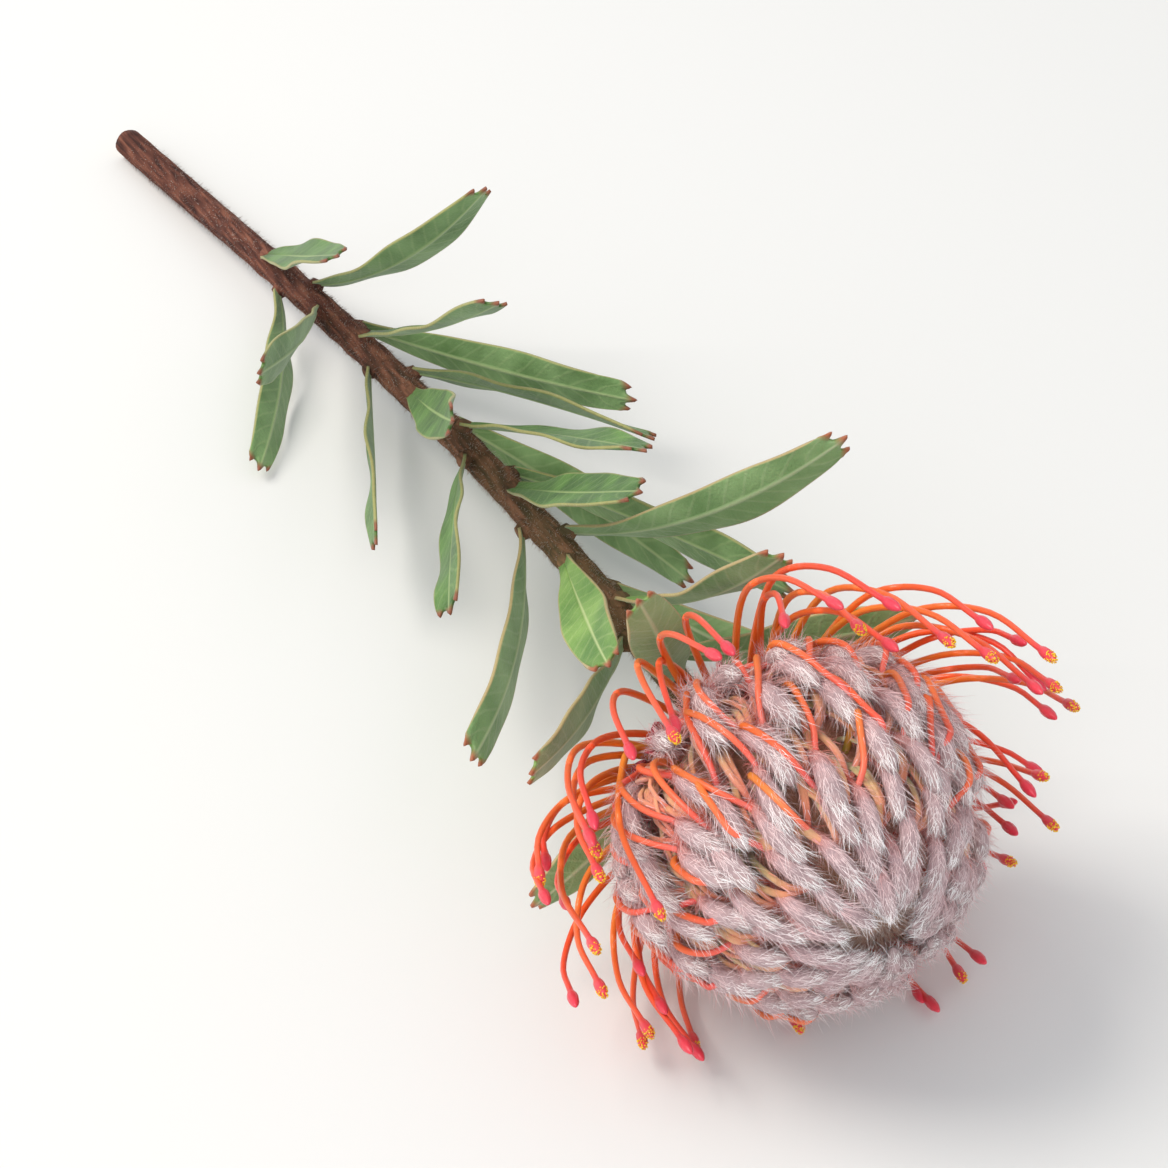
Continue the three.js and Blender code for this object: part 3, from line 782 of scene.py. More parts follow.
def blade_template() -> bpy.types.Mesh:
    """Makes one hair: a flat blade 1 wide and 1 long that ends in a point."""
    bm = bmesh.new()
    bmesh.ops.create_grid(bm, x_segments=1, y_segments=2, size=0.5)
    bmesh.ops.translate(bm, verts=bm.verts[:], vec=(0, 0.5, 0))
    tip = [corner for corner in bm.verts if corner.co.y > 0.9]
    bmesh.ops.pointmerge(bm, verts=tip, merge_co=(0, 1, 0))
    return finished_template("blade", bm)


def corners_of(mesh: bpy.types.Mesh) -> np.ndarray:
    """Reads a mesh's vertices as rows of x, y, z."""
    points = np.empty(len(mesh.vertices) * 3, np.float32)
    mesh.vertices.foreach_get("co", points)
    return points.reshape(-1, 3).astype(float)


def repeated(name: str, template: bpy.types.Mesh, count: int) -> bpy.types.Mesh:
    """Joins a number of copies of a template in one mesh, in order."""
    bm = bmesh.new()
    for _ in range(count):
        bm.from_mesh(template, face_normals=False, vertex_normals=False)
    return finished_mesh(name, bm)


def place_points(mesh: bpy.types.Mesh, points: np.ndarray) -> None:
    """Writes a mesh's vertices from points in mm in the flower's own frame."""
    placed = ((points + ORIGIN) * MM).astype(np.float32)
    mesh.vertices.foreach_set("co", placed.ravel())
    mesh.update()


def tint_copies(
    mesh: bpy.types.Mesh, tints: np.ndarray, along: np.ndarray | None = None,
) -> None:
    """Writes each copy's own tint, and where it is given each copy's own place, in the UV map.

    Args:
        mesh: A mesh of joined copies.
        tints: One number for each copy.
        along: One place for each copy, in the stead of the places along the copy.
    """
    layer = mesh.uv_layers[UV_NAME].uv
    values = np.empty(len(layer) * 2, np.float32)
    layer.foreach_get("vector", values)
    values = values.reshape(len(tints), -1, 2)
    values[:, :, 1] = tints[:, None]
    if along is not None:
        values[:, :, 0] = along[:, None]
    layer.foreach_set("vector", values.ravel())


def show(
    name: str,
    mesh: bpy.types.Mesh,
    finishes: Sequence[Finish],
    stands_for: Sequence[str] = (),
) -> bpy.types.Object:
    """Makes a finished mesh a piece of the flower.

    Args:
        name: The piece's name.
        mesh: Its mesh, in place.
        finishes: Its finishes, in the order of its material indices.
        stands_for: The CAD nodes that it replaces.

    Returns:
        The piece.
    """
    for finish in finishes:
        mesh.materials.append(finish.material())
    mesh.shade_smooth()
    piece = bpy.data.objects.new(name, mesh)
    bpy.context.scene.collection.objects.link(piece)
    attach(piece, "root")
    if stands_for:
        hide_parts(*stands_for)
    LOG.info("%s: %d faces", name, len(mesh.polygons))
    return piece


def show_turned(
    name: str, outline: Pairs, steps: int, tint: float, place: float, finish: Finish,
) -> None:
    """Makes a piece that is turned round the head's axis.

    Args:
        name: The piece's name.
        outline: Pairs of radius and height, which start and end on the axis.
        steps: How many steps the turn has.
        tint: Its one tint, where 0 is pale and 1 deep.
        place: Its one place along the finish's run of colour.
        finish: Its finish.
    """
    mesh = finished_template(name, DOME.turned(outline, steps))
    place_points(mesh, corners_of(mesh))
    tint_copies(mesh, np.array([tint]), np.array([place]))
    show(name, mesh, [finish])


class Tubes:
    """Bent copies of one straight shape, gathered and then made one piece."""

    def __init__(self, template: bpy.types.Mesh) -> None:
        """Starts with the straight shape and no copies."""
        self.template = template
        self.points = corners_of(template)
        self.bodies: list[np.ndarray] = []
        self.tints: list[float] = []

    def add(self, sweep: Sweep, radii: Pairs, tint: float, flatness: float = 1.0) -> None:
        """Bends one copy along a line.

        Args:
            sweep: The line that it follows.
            radii: Pairs of the place along it and its radius in mm.
            tint: Its tint, where 0 is pale and 1 deep.
            flatness: Its thickness along the facing direction, as a share of its width.
        """
        straight = self.points.copy()
        straight[:, :2] *= np.interp(self.points[:, 2], *zip(*radii))[:, None]
        straight[:, 0] *= flatness
        straight[:, 2] *= sweep.length
        self.bodies.append(sweep.bend(straight))
        self.tints.append(tint)

    def show(self, name: str, finish: Finish, slot: Slot, stands_for: Sequence[str] = ()) -> None:
        """Joins all copies in one piece."""
        mesh = repeated(name, self.template, len(self.bodies))
        place_points(mesh, np.concatenate(self.bodies))
        tint_copies(mesh, np.array(self.tints))
        show(name, mesh, [finish], stands_for)


@dataclass(frozen=True)
class Fur:
    """Fine hairs on a round straight body. Lengths are mm and angles degrees."""

    count: int
    length: Limits
    width: float
    lean: Limits = (8.0, 26.0)
    span: Limits = (0.1, 0.97)
    swirl: float = 0.1
    roll: float = 0.6
    taper: float = 0.6
    sunk: float = 0.94
    furrows: int = 4
    # Painted highlight: how much paler the stray hairs are tinted, for the lit halo round the clubs
    stray_highlight: float = 0.25
    crowding: float = 1.0
    loose: float = 0.0
    loose_lean: float = 42.0
    loose_length: float = 1.0
    loose_swirl: float = 0.1
    # Painted shade: how much deeper the hairs in the furrows between a club's lobes are tinted
    groove_shade: float = 0.0

    def comb(
        self,
        rng: np.random.Generator,
        radii: Pairs,
        body_length: float,
        flatness: float = 1.0,
    ) -> tuple[np.ndarray, np.ndarray, np.ndarray]:
        """Sets hairs round a straight body, combed towards its tip.

        Args:
            rng: Where the draws come from.
            radii: Pairs of the place along the body and its radius in mm.
            body_length: The body's length in mm.
            flatness: The body's thickness along x, as a share of its width.

        Returns:
            The hairs' points, one set of rows for each hair, with each hair's place and shade.
        """
        blade = corners_of(BLADE)
        at = lerp(*self.span, rng.random(self.count) ** self.crowding)
        angle = rng.uniform(0, 2 * math.pi, self.count)
        stray = rng.random(self.count) < self.loose
        combed = rng.uniform(*self.lean, self.count)
        lifted = lerp(self.lean[1], self.loose_lean, rng.random(self.count))
        lean = np.radians(np.where(stray, lifted, combed))
        swirl = rng.normal(0, 1, self.count) * np.where(stray, self.loose_swirl, self.swirl)
        length = rng.uniform(*self.length, self.count) * np.where(stray, self.loose_length, 1)
        roll = rng.uniform(-self.roll, self.roll, self.count)[:, None, None]
        zero, one = np.zeros(self.count), np.ones(self.count)
        out = np.stack([np.cos(angle), np.sin(angle), zero], axis=1)[:, None]
        round_ = np.stack([-np.sin(angle), np.cos(angle), zero], axis=1)[:, None]
        ahead = np.stack([zero, zero, one], axis=1)[:, None]
        wide, high = blade[None, :, 0], blade[None, :, 1]
        along = (at * body_length)[:, None] + high * (length * np.cos(lean))[:, None]
        skin = np.interp(along / body_length, *zip(*radii)) * self.sunk
        lift = high * (length * np.sin(lean))[:, None]
        aside = high * (length * swirl)[:, None]
        across = (round_ * np.cos(roll) + out * np.sin(roll)) * self.width
        points = (
            out * (skin[:, :, None] * np.array([flatness, 1, 1]) + lift[:, :, None])
            + round_ * aside[:, :, None]
            + ahead * along[:, :, None]
            + across * (wide * (1 - self.taper * high))[:, :, None]
        )
        # Painted shade in the furrows between the lobes: the hairs there are tinted deeper
        furrow_shade = np.clip(-np.cos(self.furrows * angle), 0, 1) ** 3
        # Painted highlight on the stray hairs: they are tinted paler
        shade = rng.random(self.count) + self.groove_shade * furrow_shade - self.stray_highlight * stray
        return points, at, shade


BLADE = blade_template()


class FurCoat:
    """The hairs of many bodies, gathered and then made one piece."""

    rest_height: float = 0.15
    softness: float = 0.5
    shade_weight: float = 0.6
    dark_weight: float = 0.7
    paler: float = 0.1

    def __init__(self, fur: Fur, seed: Seed) -> None:
        """Starts an empty coat with its own draws."""
        self.fur = fur
        self.rng = np.random.default_rng(seed.value)
        self.points: list[np.ndarray] = []
        self.along: list[np.ndarray] = []
        self.tints: list[np.ndarray] = []

    def grow(
        self,
        sweep: Sweep,
        radii: Pairs,
        size: float = 1.0,
        brightness: float = 0.5,
        flatness: float = 1.0,
    ) -> None:
        """Grows hairs on one bent body.

        Args:
            sweep: The body's line.
            radii: Pairs of the place along the body and its radius in mm.
            size: The body's size, which scales hairs and radii.
            brightness: How much of the paler tint its hairs have.
            flatness: The body's thickness along the facing direction, as a share of its width.
        """
        straight, at, shade = self.fur.comb(self.rng, radii, sweep.length / size, flatness)
        bent = sweep.bend(straight.reshape(-1, 3) * size)
        self.points.append(bent)
        self.along.append(at)
        tints = shade * self.shade_weight + (1 - brightness) * self.dark_weight - self.paler
        self.tints.append(np.clip(tints, 0, 1))

    def finish(self, name: str, finish: Finish, slot: Slot) -> bpy.types.Object:
        """Joins all hairs in one piece."""
        tuft = repeated("tuft", BLADE, self.fur.count)
        mesh = repeated(name, tuft, len(self.points))
        bpy.data.meshes.remove(tuft)
        place_points(mesh, settle(np.concatenate(self.points), self.rest_height, self.softness))
        tint_copies(mesh, np.concatenate(self.tints), np.concatenate(self.along))
        return show(name, mesh, [finish])


@dataclass
class Bud:
    """One closed floret: its number, its place on the dome and the line that it follows."""

    number: int
    share: float
    turn: float
    size: float
    reach: float
    sweep: Sweep


@dataclass
class Spines:
    """Points down the middles of all clubs, with each point's floret and the club's radius."""

    owners: np.ndarray
    centres: np.ndarray
    radii: np.ndarray


@dataclass
class SilkyFlorets:
    """The closed florets: spirals of silky clubs whose tips point along the dome to the crown.

    A station is a floret's line from its root to its tip: how far back down the dome it is, its
    shares of the dome's radius and height there, and its share of the stand.
    """

    count: int = 142
    length: float = 26.0
    floor_at: float = 7.6
    rest_height: float = 3.2
    first_share: float = 0.034
    share_range: float = 0.785
    crowding: float = 1.08
    shift: Limits = (-0.014, 0.014)
    shift_ease: Limits = (0.0, 0.15)
    step: Limits = (-0.11, 0.11)
    step_ease: Limits = (0.1, 0.6)
    crown_rise: Limits = (-2.8, 1.4)
    rise_ease: Limits = (0.05, 0.3)
    crown_size: float = 0.74
    size_range: Limits = (0.88, 1.1)
    full_size_share: float = 0.42
    drift: Limits = (-0.2, 0.2)
    lift: Limits = (-0.6, 1.4)
    stand: float = 2.0
    stand_ease: Limits = (0.05, 0.5)
    stations: tuple[tuple[float, float, float, float], ...] = (
        (1.0, 0.62, 0.72, 0.0), (0.82, 0.82, 0.88, 0.0), (0.62, 0.94, 0.96, 0.2),
        (0.4, 0.985, 0.985, 0.7), (0.15, 0.99, 0.995, 1.0), (0.0, 0.985, 1.0, 1.05),
    )
    profile: Pairs = (
        (0, 0.6), (0.32, 0.7), (0.42, 0.9), (0.52, 1.3), (0.62, 1.85), (0.71, 2.2), (0.79, 2.3),
        (0.87, 2.05), (0.93, 1.6), (0.975, 1.0), (1, 0.2),
    )
    club_span: Limits = (0.4, 0.98)
    spine_marks: int = 14
    lobes: int = 4
    lobe_depth: float = 0.07
    sides: int = 12
    rings: int = 18
    tint: Limits = (0.6, 0.3)
    tint_ease: Limits = (0.05, 0.45)
    tint_varies: Limits = (0.75, 1.2)
    light: Limits = (0.7, 0.95)
    light_ease: Limits = (0.02, 0.4)
    crown_fur: Fur = Fur(
        600, (2.2, 3.6), 0.15, lean=(2, 12), span=(0.22, 0.93), crowding=0.8,
        loose=0.42, loose_lean=42, loose_length=1.5, loose_swirl=0.5, groove_shade=0.2,
    )
    skirt_fur: Fur = Fur(
        700, (2.4, 4.0), 0.15, lean=(2, 12), span=(0.22, 0.93), crowding=0.75,
        loose=0.42, loose_lean=46, loose_length=1.7, loose_swirl=0.5, groove_shade=0.2,
    )

    def buds(self) -> list[Bud]:
        """Sets the florets in golden-angle steps down the dome."""
        made = []
        for number in range(self.count):
            age = ((number + 0.5) / self.count) ** self.crowding
            shift = spread(number, Draw.BUD_SHIFT, self.shift) * ease(age, self.shift_ease)
            share = self.first_share + self.share_range * age + shift
            step = spread(number, Draw.BUD_STEP, self.step) * ease(age, self.step_ease)
            turn = number * GOLDEN_ANGLE + step
            drift = spread(number, Draw.BUD_DRIFT, self.drift)
            lift = spread(number, Draw.BUD_LIFT, self.lift)
            size = lerp(self.crown_size, 1, min(1, share / self.full_size_share))
            size *= spread(number, Draw.BUD_SIZE, self.size_range)
            reach = size * self.length / DOME.girth
            stand = self.stand * ease(share, self.stand_ease)
            rise = spread(number, Draw.BUD_RISE, self.crown_rise)
            rise *= 1 - ease(share, self.rise_ease)
            marks = []
            for back, wide, high, out in self.stations:
                radius, height = DOME.outline(min(share + reach * back, 1))
                away = radius * wide + lift * (1 - back) + stand * out
                raised = lerp(self.floor_at, height, high) + rise * (1 - back) ** 2
                marks.append(DOME.point(away, raised, turn + drift * (1 - back)))
            line = smooth_line(settle(np.array(marks), self.rest_height), steps=20)
            sweep = Sweep(line, SHOOT.outward(1, turn))
            made.append(Bud(number, share, turn, size, reach, sweep))
        return made

    def spines(self, buds: Sequence[Bud]) -> Spines:
        """Marks the middles of all clubs, for the styles that have to pass them."""
        shares = np.linspace(*self.club_span, self.spine_marks)
        radii = np.interp(shares, *zip(*self.profile))
        return Spines(
            np.repeat([bud.number for bud in buds], len(shares)),
            np.array([bud.sweep.point(share) for bud in buds for share in shares]),
            np.concatenate([radii * bud.size for bud in buds]),
        )

    def build_clubs(self, buds: Sequence[Bud]) -> None:
        """Makes the skins of all florets as one piece, each with its soft lobes."""
        clubs = Tubes(tube_template("club", self.sides, self.rings, pointed=True))
        angle = np.arctan2(clubs.points[:, 1], clubs.points[:, 0])
        clubs.points[:, :2] *= (1 + self.lobe_depth * np.cos(self.lobes * angle))[:, None]
        for bud in buds:
            tint = lerp(*self.tint, ease(bud.share, self.tint_ease))
            tint *= spread(bud.number, Draw.BUD_TINT, self.tint_varies)
            clubs.add(bud.sweep, [(at, radius * bud.size) for at, radius in self.profile], tint)
        clubs.show("silky_perianths", SILKY_SKIN, Slot.SILK, ["silky_buds"])

    def build_silk(self, buds: Sequence[Bud]) -> None:
        """Makes the silky coat in two pieces: the crown's florets and the lower ones."""
        half = len(buds) // 2
        for name, seed, fur, group in (
            ("silk_crown", Seed.SILK_CROWN, self.crown_fur, buds[:half]),
            ("silk_skirt", Seed.SILK_SKIRT, self.skirt_fur, buds[half:]),
        ):
            coat = FurCoat(fur, seed)
            for bud in group:
                light = lerp(*self.light, ease(bud.share, self.light_ease))
                coat.grow(bud.sweep, self.profile, bud.size, light)
            coat.finish(name, SILK_HAIR, Slot.SILK)


@dataclass
class Ribbons:
    """The downy ribbons that each floret's tube splits into below its club.

    A station is how far past the club it is, as a share of the reach, its share of the dome's
    radius and its share of the bow.
    """

    each: int = 5
    radius: float = 0.78
    taper: Limits = (1.25, 0.8)
    flatness: float = 0.6
    side: Limits = (-0.34, 0.34)
    bow: Limits = (-1.5, 3.8)
    bow_ease: Limits = (0.1, 0.6)
    reach: float = 0.3
    stations: tuple[tuple[float, float, float], ...] = (
        (1.0, 0.76, 0.0), (0.82, 0.88, 0.5), (0.45, 0.94, 1.0),
    )
    entries: Limits = (0.4, 0.55)
    rest_height: float = 1.2
    fur: Fur = Fur(26, (1.6, 3.2), 0.18, lean=(8, 35), span=(0.1, 1.0))

    def sweep(self, bud: Bud, number: int) -> Sweep:
        """Draws one ribbon, from the cone to its club."""
        side = spread(number, Draw.RIBBON_SIDE, self.side)
        bow = spread(number, Draw.RIBBON_BOW, self.bow) * ease(bud.share, self.bow_ease)
        low = bud.share + bud.reach * self.entries[1]
        marks = []
        for past, wide, out in self.stations:
            radius, height = DOME.flank(low + self.reach * past)
            marks.append(DOME.point(radius * wide + bow * out, height, bud.turn + side * past))
        marks += [bud.sweep.point(entry) for entry in self.entries]
        line = smooth_line(np.array(marks), steps=12)
        return Sweep(settle(line, self.rest_height), SHOOT.outward(1, bud.turn))

    def build(self, buds: Sequence[Bud]) -> None:
        """Makes all ribbons as one piece, and their down."""
        ribbons = Tubes(tube_template("ribbon", sides=5, rings=11))
        coat = FurCoat(self.fur, Seed.RIBBON)
        tapered = [(at, self.radius * self.taper[at]) for at in (0, 1)]
        for bud in buds:
            for ribbon in range(self.each):
                number = bud.number + ribbon * len(buds)
                sweep = self.sweep(bud, number)
                ribbons.add(sweep, tapered, jitter(number, Draw.BUD_TINT), self.flatness)
                coat.grow(sweep, [(at, self.radius) for at in (0, 1)], brightness=0.7)
        ribbons.show("perianth_claws", RIBBON_DOWN, Slot.SILK)
        coat.finish("claw_down", SILK_HAIR, Slot.SILK)


@dataclass
class Receptacle:
    """The cone that carries the florets and shows between them, with its wool."""

    width: float = 0.77
    height: float = 0.85
    margin: float = 1.0
    steps: int = 20
    fur: Fur = Fur(14000, (3.4, 7.0), 0.22, lean=(35, 80), span=(0.02, 0.98))

    def build(self) -> None:
        """Makes the cone and the wool on it."""
        outline = [(0.0, DOME.floor_at)]
        for step in range(self.steps, 0, -1):
            radius, height = DOME.outline(step / self.steps)
            raised = lerp(DOME.floor_at, height, self.height)
            outline.append((radius * self.width + self.margin, raised))
        outline.append((0.0, lerp(DOME.floor_at, DOME.crown_at, self.height)))
        show_turned(
            "receptacle_cone", outline, steps=48, tint=0.4, place=0.5,
            finish=CORE_FELT,
        )
        axis = Sweep(DOME.line([outline[0], outline[-1]], [0, 0]), SHOOT.outward(1, 0))
        radii = [((height - DOME.floor_at) / axis.length, radius) for radius, height in outline[1:]]
        coat = FurCoat(self.fur, Seed.WOOL)
        coat.grow(axis, radii)
        coat.finish("receptacle_felt", CORE_WOOL, Slot.SILK)


@dataclass(frozen=True)
class StyleDisc:
    """The fleshy disc that every style rises from."""

    radius: float = 20.0
    bottom: float = 1.0
    top: float = 4.2
    bevel: float = 1.6

    def build(self) -> None:
        """Makes the disc."""
        outline = (
            (0, self.bottom), (self.radius - self.bevel, self.bottom),
            (self.radius, self.bottom + self.bevel), (self.radius, self.top), (0, self.top),
        )
        show_turned(
            "style_disc", outline, steps=64, tint=0.3, place=0.02,
            finish=LOOP_WAX,
        )


DISC = StyleDisc()


@dataclass
class HeldStyles:
    """The styles whose tips are still held in the clubs, so that they bow out in loops.

    A mark of the hook is how far past the club it is, as a share of the reach, and its share of
    the bow.
    """

    from_share: float = 0.16
    grown_ease: Limits = (0.1, 0.55)
    crown_bow: float = 0.35
    crown_reach: float = 0.7
    bow: Limits = (3.0, 8.5)
    reach: Limits = (0.26, 0.37)
    drift: Limits = (-0.22, 0.2)
    entries: Limits = (0.62, 0.44)
    hook: Pairs = ((0.22, 0.3), (0.5, 0.75), (0.75, 0.75), (0.93, 0.2))
    root_depth: float = 0.76
    taper: Limits = (1.08, 0.83)
    steps: int = 30
    lifts: int = 8
    smoothings: int = 3
    held_steps: int = 4

    def lifted_clear(self, line: np.ndarray, owner: int, spines: Spines) -> np.ndarray:
        """Lifts a line off the head until it passes over the other florets' clubs.

        Args:
            line: The points of a held style, from its root to its own club.
            owner: The number of its own floret.
            spines: The middles of all clubs.

        Returns:
            The lifted points.
        """
        others = spines.owners != owner
        centres, radii = spines.centres[others], spines.radii[others]
        axis = SHOOT.frame_along(1)[0]
        for _ in range(self.lifts):
            gaps = np.linalg.norm(line[:, None] - centres, axis=2) - radii - STYLE_RADIUS
            short = np.clip(-gaps.min(axis=1), 0, None)
            short[:self.held_steps] = 0
            short[-self.held_steps:] = 0
            arm = line - SHOOT.point(1)
            out = unit(arm - (arm @ axis)[:, None] * axis)
            line = line + out * short[:, None]
            for _ in range(self.smoothings):
                line[1:-1] = line[1:-1] * 0.5 + (line[:-2] + line[2:]) * 0.25
        return line

    def sweep(self, bud: Bud, spines: Spines) -> Sweep:
        """Draws one style: in line with its club it bows out, then hooks back to its root."""
        grown = ease(bud.share, self.grown_ease)
        bow = spread(bud.number, Draw.LOOP_BOW, self.bow) * lerp(self.crown_bow, 1, grown)
        reach = spread(bud.number, Draw.LOOP_REACH, self.reach) * lerp(self.crown_reach, 1, grown)
        drift = spread(bud.number, Draw.LOOP_DRIFT, self.drift)
        low = bud.share + bud.reach * (1 - self.entries[1])
        radius, height = DOME.flank(low + reach)
        marks, turns = [(radius * self.root_depth, height)], [bud.turn + drift]
        for past, out in reversed(self.hook):
            radius, height = DOME.flank(low + reach * past)
            marks.append((radius + bow * out, height))
            turns.append(bud.turn + drift * past)
        ends = [bud.sweep.point(entry) for entry in reversed(self.entries)]
        line = smooth_line(np.vstack([DOME.line(marks, turns), ends]), self.steps)
        line = self.lifted_clear(line, bud.number, spines)
        return Sweep(settle(line, STYLE_RADIUS), SHOOT.outward(1, bud.turn))

    def build(self, buds: Sequence[Bud], spines: Spines) -> None:
        """Makes every held style as one piece."""
        loops = Tubes(tube_template("loop", sides=7, rings=self.steps))
        tapered = [(at, STYLE_RADIUS * self.taper[at]) for at in (0, 1)]
        for bud in buds:
            if bud.share >= self.from_share:
                loops.add(self.sweep(bud, spines), tapered, jitter(bud.number, Draw.LOOP_TINT))
        loops.show("held_styles", LOOP_WAX, Slot.STYLE, ["styles"])


@dataclass
class ReleasedStyles:
    """The styles that have sprung free: wiry pins with spindle tips, and the pollen on some.

    The first pins stand where the solid's do, and the extra ones between them are shorter.
    """

    count: int = 60
    like_solid: int = 36
    first_turn: float = 1.1
    root: float = 1.2
    reach: Limits = (50.0, 60.0)
    climb: Limits = (16.0, 40.0)
    sag: Limits = (-5.0, 1.0)
    drift: Limits = (-0.22, 0.22)
    softness: float = 7.5
    steps: int = 24
    extra_shorter: float = 9.0
    extra_climb: Limits = (-4.8, 7.2)
    extra_turn: Limits = (-0.25, 0.25)
    extra_drift: float = 1.8
    swell: tuple[float, float, float] = (1.1, 0.8, 0.86)
    neck: float = 0.03
    tip_from: float = 0.9
    tip_rings: int = 16
    tip_length: float = 5.0
    tip_radius: float = 1.2
    tip_profile: Pairs = ((0.2, 1.08), (0.42, 1.2), (0.68, 1.056), (0.9, 0.55), (1, 0.1))
    spindle_middle: float = 0.4
    spindle_half: float = 0.62
    spindle_least: float = 0.02
    dusted_share: float = 0.4
    grains: int = 66
    grain_size: Limits = (0.11, 0.2)
    grain_span: Limits = (0.55, 1.0)

    def sweep(self, pin: int) -> Sweep:
        """Draws one style: out past the dome and then up."""
        turn = pin * GOLDEN_ANGLE + self.first_turn
        reach = spread(pin, Draw.PIN_REACH, self.reach)
        climb = spread(pin, Draw.PIN_CLIMB, self.climb)
        sag = spread(pin, Draw.PIN_SAG, self.sag)
        drift = spread(pin, Draw.PIN_DRIFT, self.drift)
        if pin >= self.like_solid:
            reach -= self.extra_shorter * jitter(pin, Draw.PIN_SHORTER)
            climb += spread(pin, Draw.PIN_SAG, self.extra_climb)
            turn += spread(pin, Draw.PIN_DRIFT, self.extra_turn)
            drift *= self.extra_drift
        # Radius and height of the root, the low bend, the flank, the shoulder and the tip's foot
        marks = [
            (DISC.radius - self.root, DISC.bottom + 0.9),
            (DISC.radius + 10, DISC.bottom + 0.4 + sag * 0.3),
            (reach * 0.8, 3 + sag + climb * 0.12),
            (reach * 0.97, 6 + sag * 0.5 + climb * 0.42),
            (reach, climb),
        ]
        turns = turn + drift * np.linspace(0, 1, len(marks))
        line = smooth_line(DOME.line(marks, turns), self.steps)
        heading = unit(line[-1] - line[-2])
        tip = line[-1] + heading * self.tip_length * np.array([[0.5], [1.0]])
        laid = settle(np.vstack([line, tip]), self.tip_radius, self.softness)
        return Sweep(laid, SHOOT.outward(1, turn))

    def build(self) -> None:
        """Makes every released style as one piece, and the pollen."""
        rings = [
            *np.linspace(0, self.tip_from, self.steps)[1:],
            *np.linspace(self.tip_from, 1, self.tip_rings + 1)[1:],
        ]
        pins = Tubes(tube_template("pin", sides=9, rings=rings, pointed=True))
        dusted = []
        for pin in range(self.count):
            sweep = self.sweep(pin)
            tip = 1 - self.tip_length / sweep.length
            places = (0, tip - self.neck, tip)
            radii = [(at, STYLE_RADIUS * swell) for at, swell in zip(places, self.swell)]
            radii += [(lerp(tip, 1, at), radius) for at, radius in self.tip_profile]
            tint = jitter(pin, Draw.PIN_TINT)
            pins.add(sweep, radii, tint)
            if tint < self.dusted_share:
                dusted.append(sweep)
        pins.show("released_styles", PIN_WAX, Slot.STYLE)
        self.build_pollen(dusted)

    def build_pollen(self, sweeps: Sequence[Sweep]) -> None:
        """Dusts the far half of some tips with grains of pollen, drawn larger than life to show."""
        bm = bmesh.new()
        bmesh.ops.create_icosphere(bm, subdivisions=1, radius=1.0)
        dust = Tubes(finished_template("grain", bm))
        rng = np.random.default_rng(Seed.POLLEN.value)
        for sweep in sweeps:
            for _ in range(self.grains):
                at = rng.uniform(*self.grain_span)
                around = rng.uniform(0, 2 * math.pi)
                from_middle = (at - self.spindle_middle) / self.spindle_half
                away = self.tip_radius * math.sqrt(max(1 - from_middle ** 2, self.spindle_least))
                centre = np.array([
                    away * math.cos(around), away * math.sin(around),
                    sweep.length - self.tip_length * (1 - at),
                ])
                grain = dust.points * rng.uniform(*self.grain_size)
                dust.bodies.append(sweep.bend(grain + centre))
        dust.tints.extend(rng.uniform(0, 1, len(dust.bodies)))
        dust.show("pollen_grains", POLLEN_DUST, Slot.STYLE)


@dataclass
class RolledSegments:
    """The crimson perianth segments that the open florets have rolled back low down."""

    count: int = 46
    first_turn: float = 2.3
    reach: Limits = (4.0, 11.0)
    drift: Limits = (-0.3, 0.3)
    roll: Limits = (1.2, 3.2)
    profile: Pairs = ((0, 1.0), (0.3, 1.3), (0.7, 1.45), (0.9, 1.0), (1, 0.2))
    flatness: float = 0.35
    rest_height: float = 1.0
    fur: Fur = Fur(150, (1.4, 2.6), 0.18, lean=(15, 50), span=(0.05, 0.95))

    def sweep(self, curl: int) -> Sweep:
        """Draws one segment: out over the disc, up and back in a roll."""
        turn = curl * GOLDEN_ANGLE + self.first_turn
        reach = spread(curl, Draw.CURL_REACH, self.reach)
        drift = spread(curl, Draw.CURL_DRIFT, self.drift)
        roll = spread(curl, Draw.CURL_ROLL, self.roll)
        middle = reach * 0.7
        # Past the disc's rim and above its underside: the root, the way out, the fold and the roll
        marks = [(DISC.radius + out, DISC.bottom + up) for out, up in (
            (-1, 1.8), (middle, 1.2), (reach, 3.2), (middle, 5.4),
            (middle - roll, 4.0), (middle - roll * 0.4, 2.9),
        )]
        turns = turn + drift * np.linspace(0, 1, len(marks))
        line = settle(smooth_line(DOME.line(marks, turns), steps=22), self.rest_height)
        return Sweep(line, SHOOT.outward(1, turn))

    def build(self) -> None:
        """Makes every segment as one piece, and the silk on them."""
        curls = Tubes(tube_template("curl", sides=8, rings=16, pointed=True))
        coat = FurCoat(self.fur, Seed.CURL)
        for curl in range(self.count):
            sweep = self.sweep(curl)
            curls.add(sweep, self.profile, jitter(curl, Draw.CURL_ROLL), self.flatness)
            coat.grow(sweep, self.profile, brightness=0.8, flatness=self.flatness)
        curls.show("rolled_perianths", CURL_SKIN, Slot.STYLE)
        coat.finish("rolled_perianth_silk", CURL_HAIR, Slot.SILK)


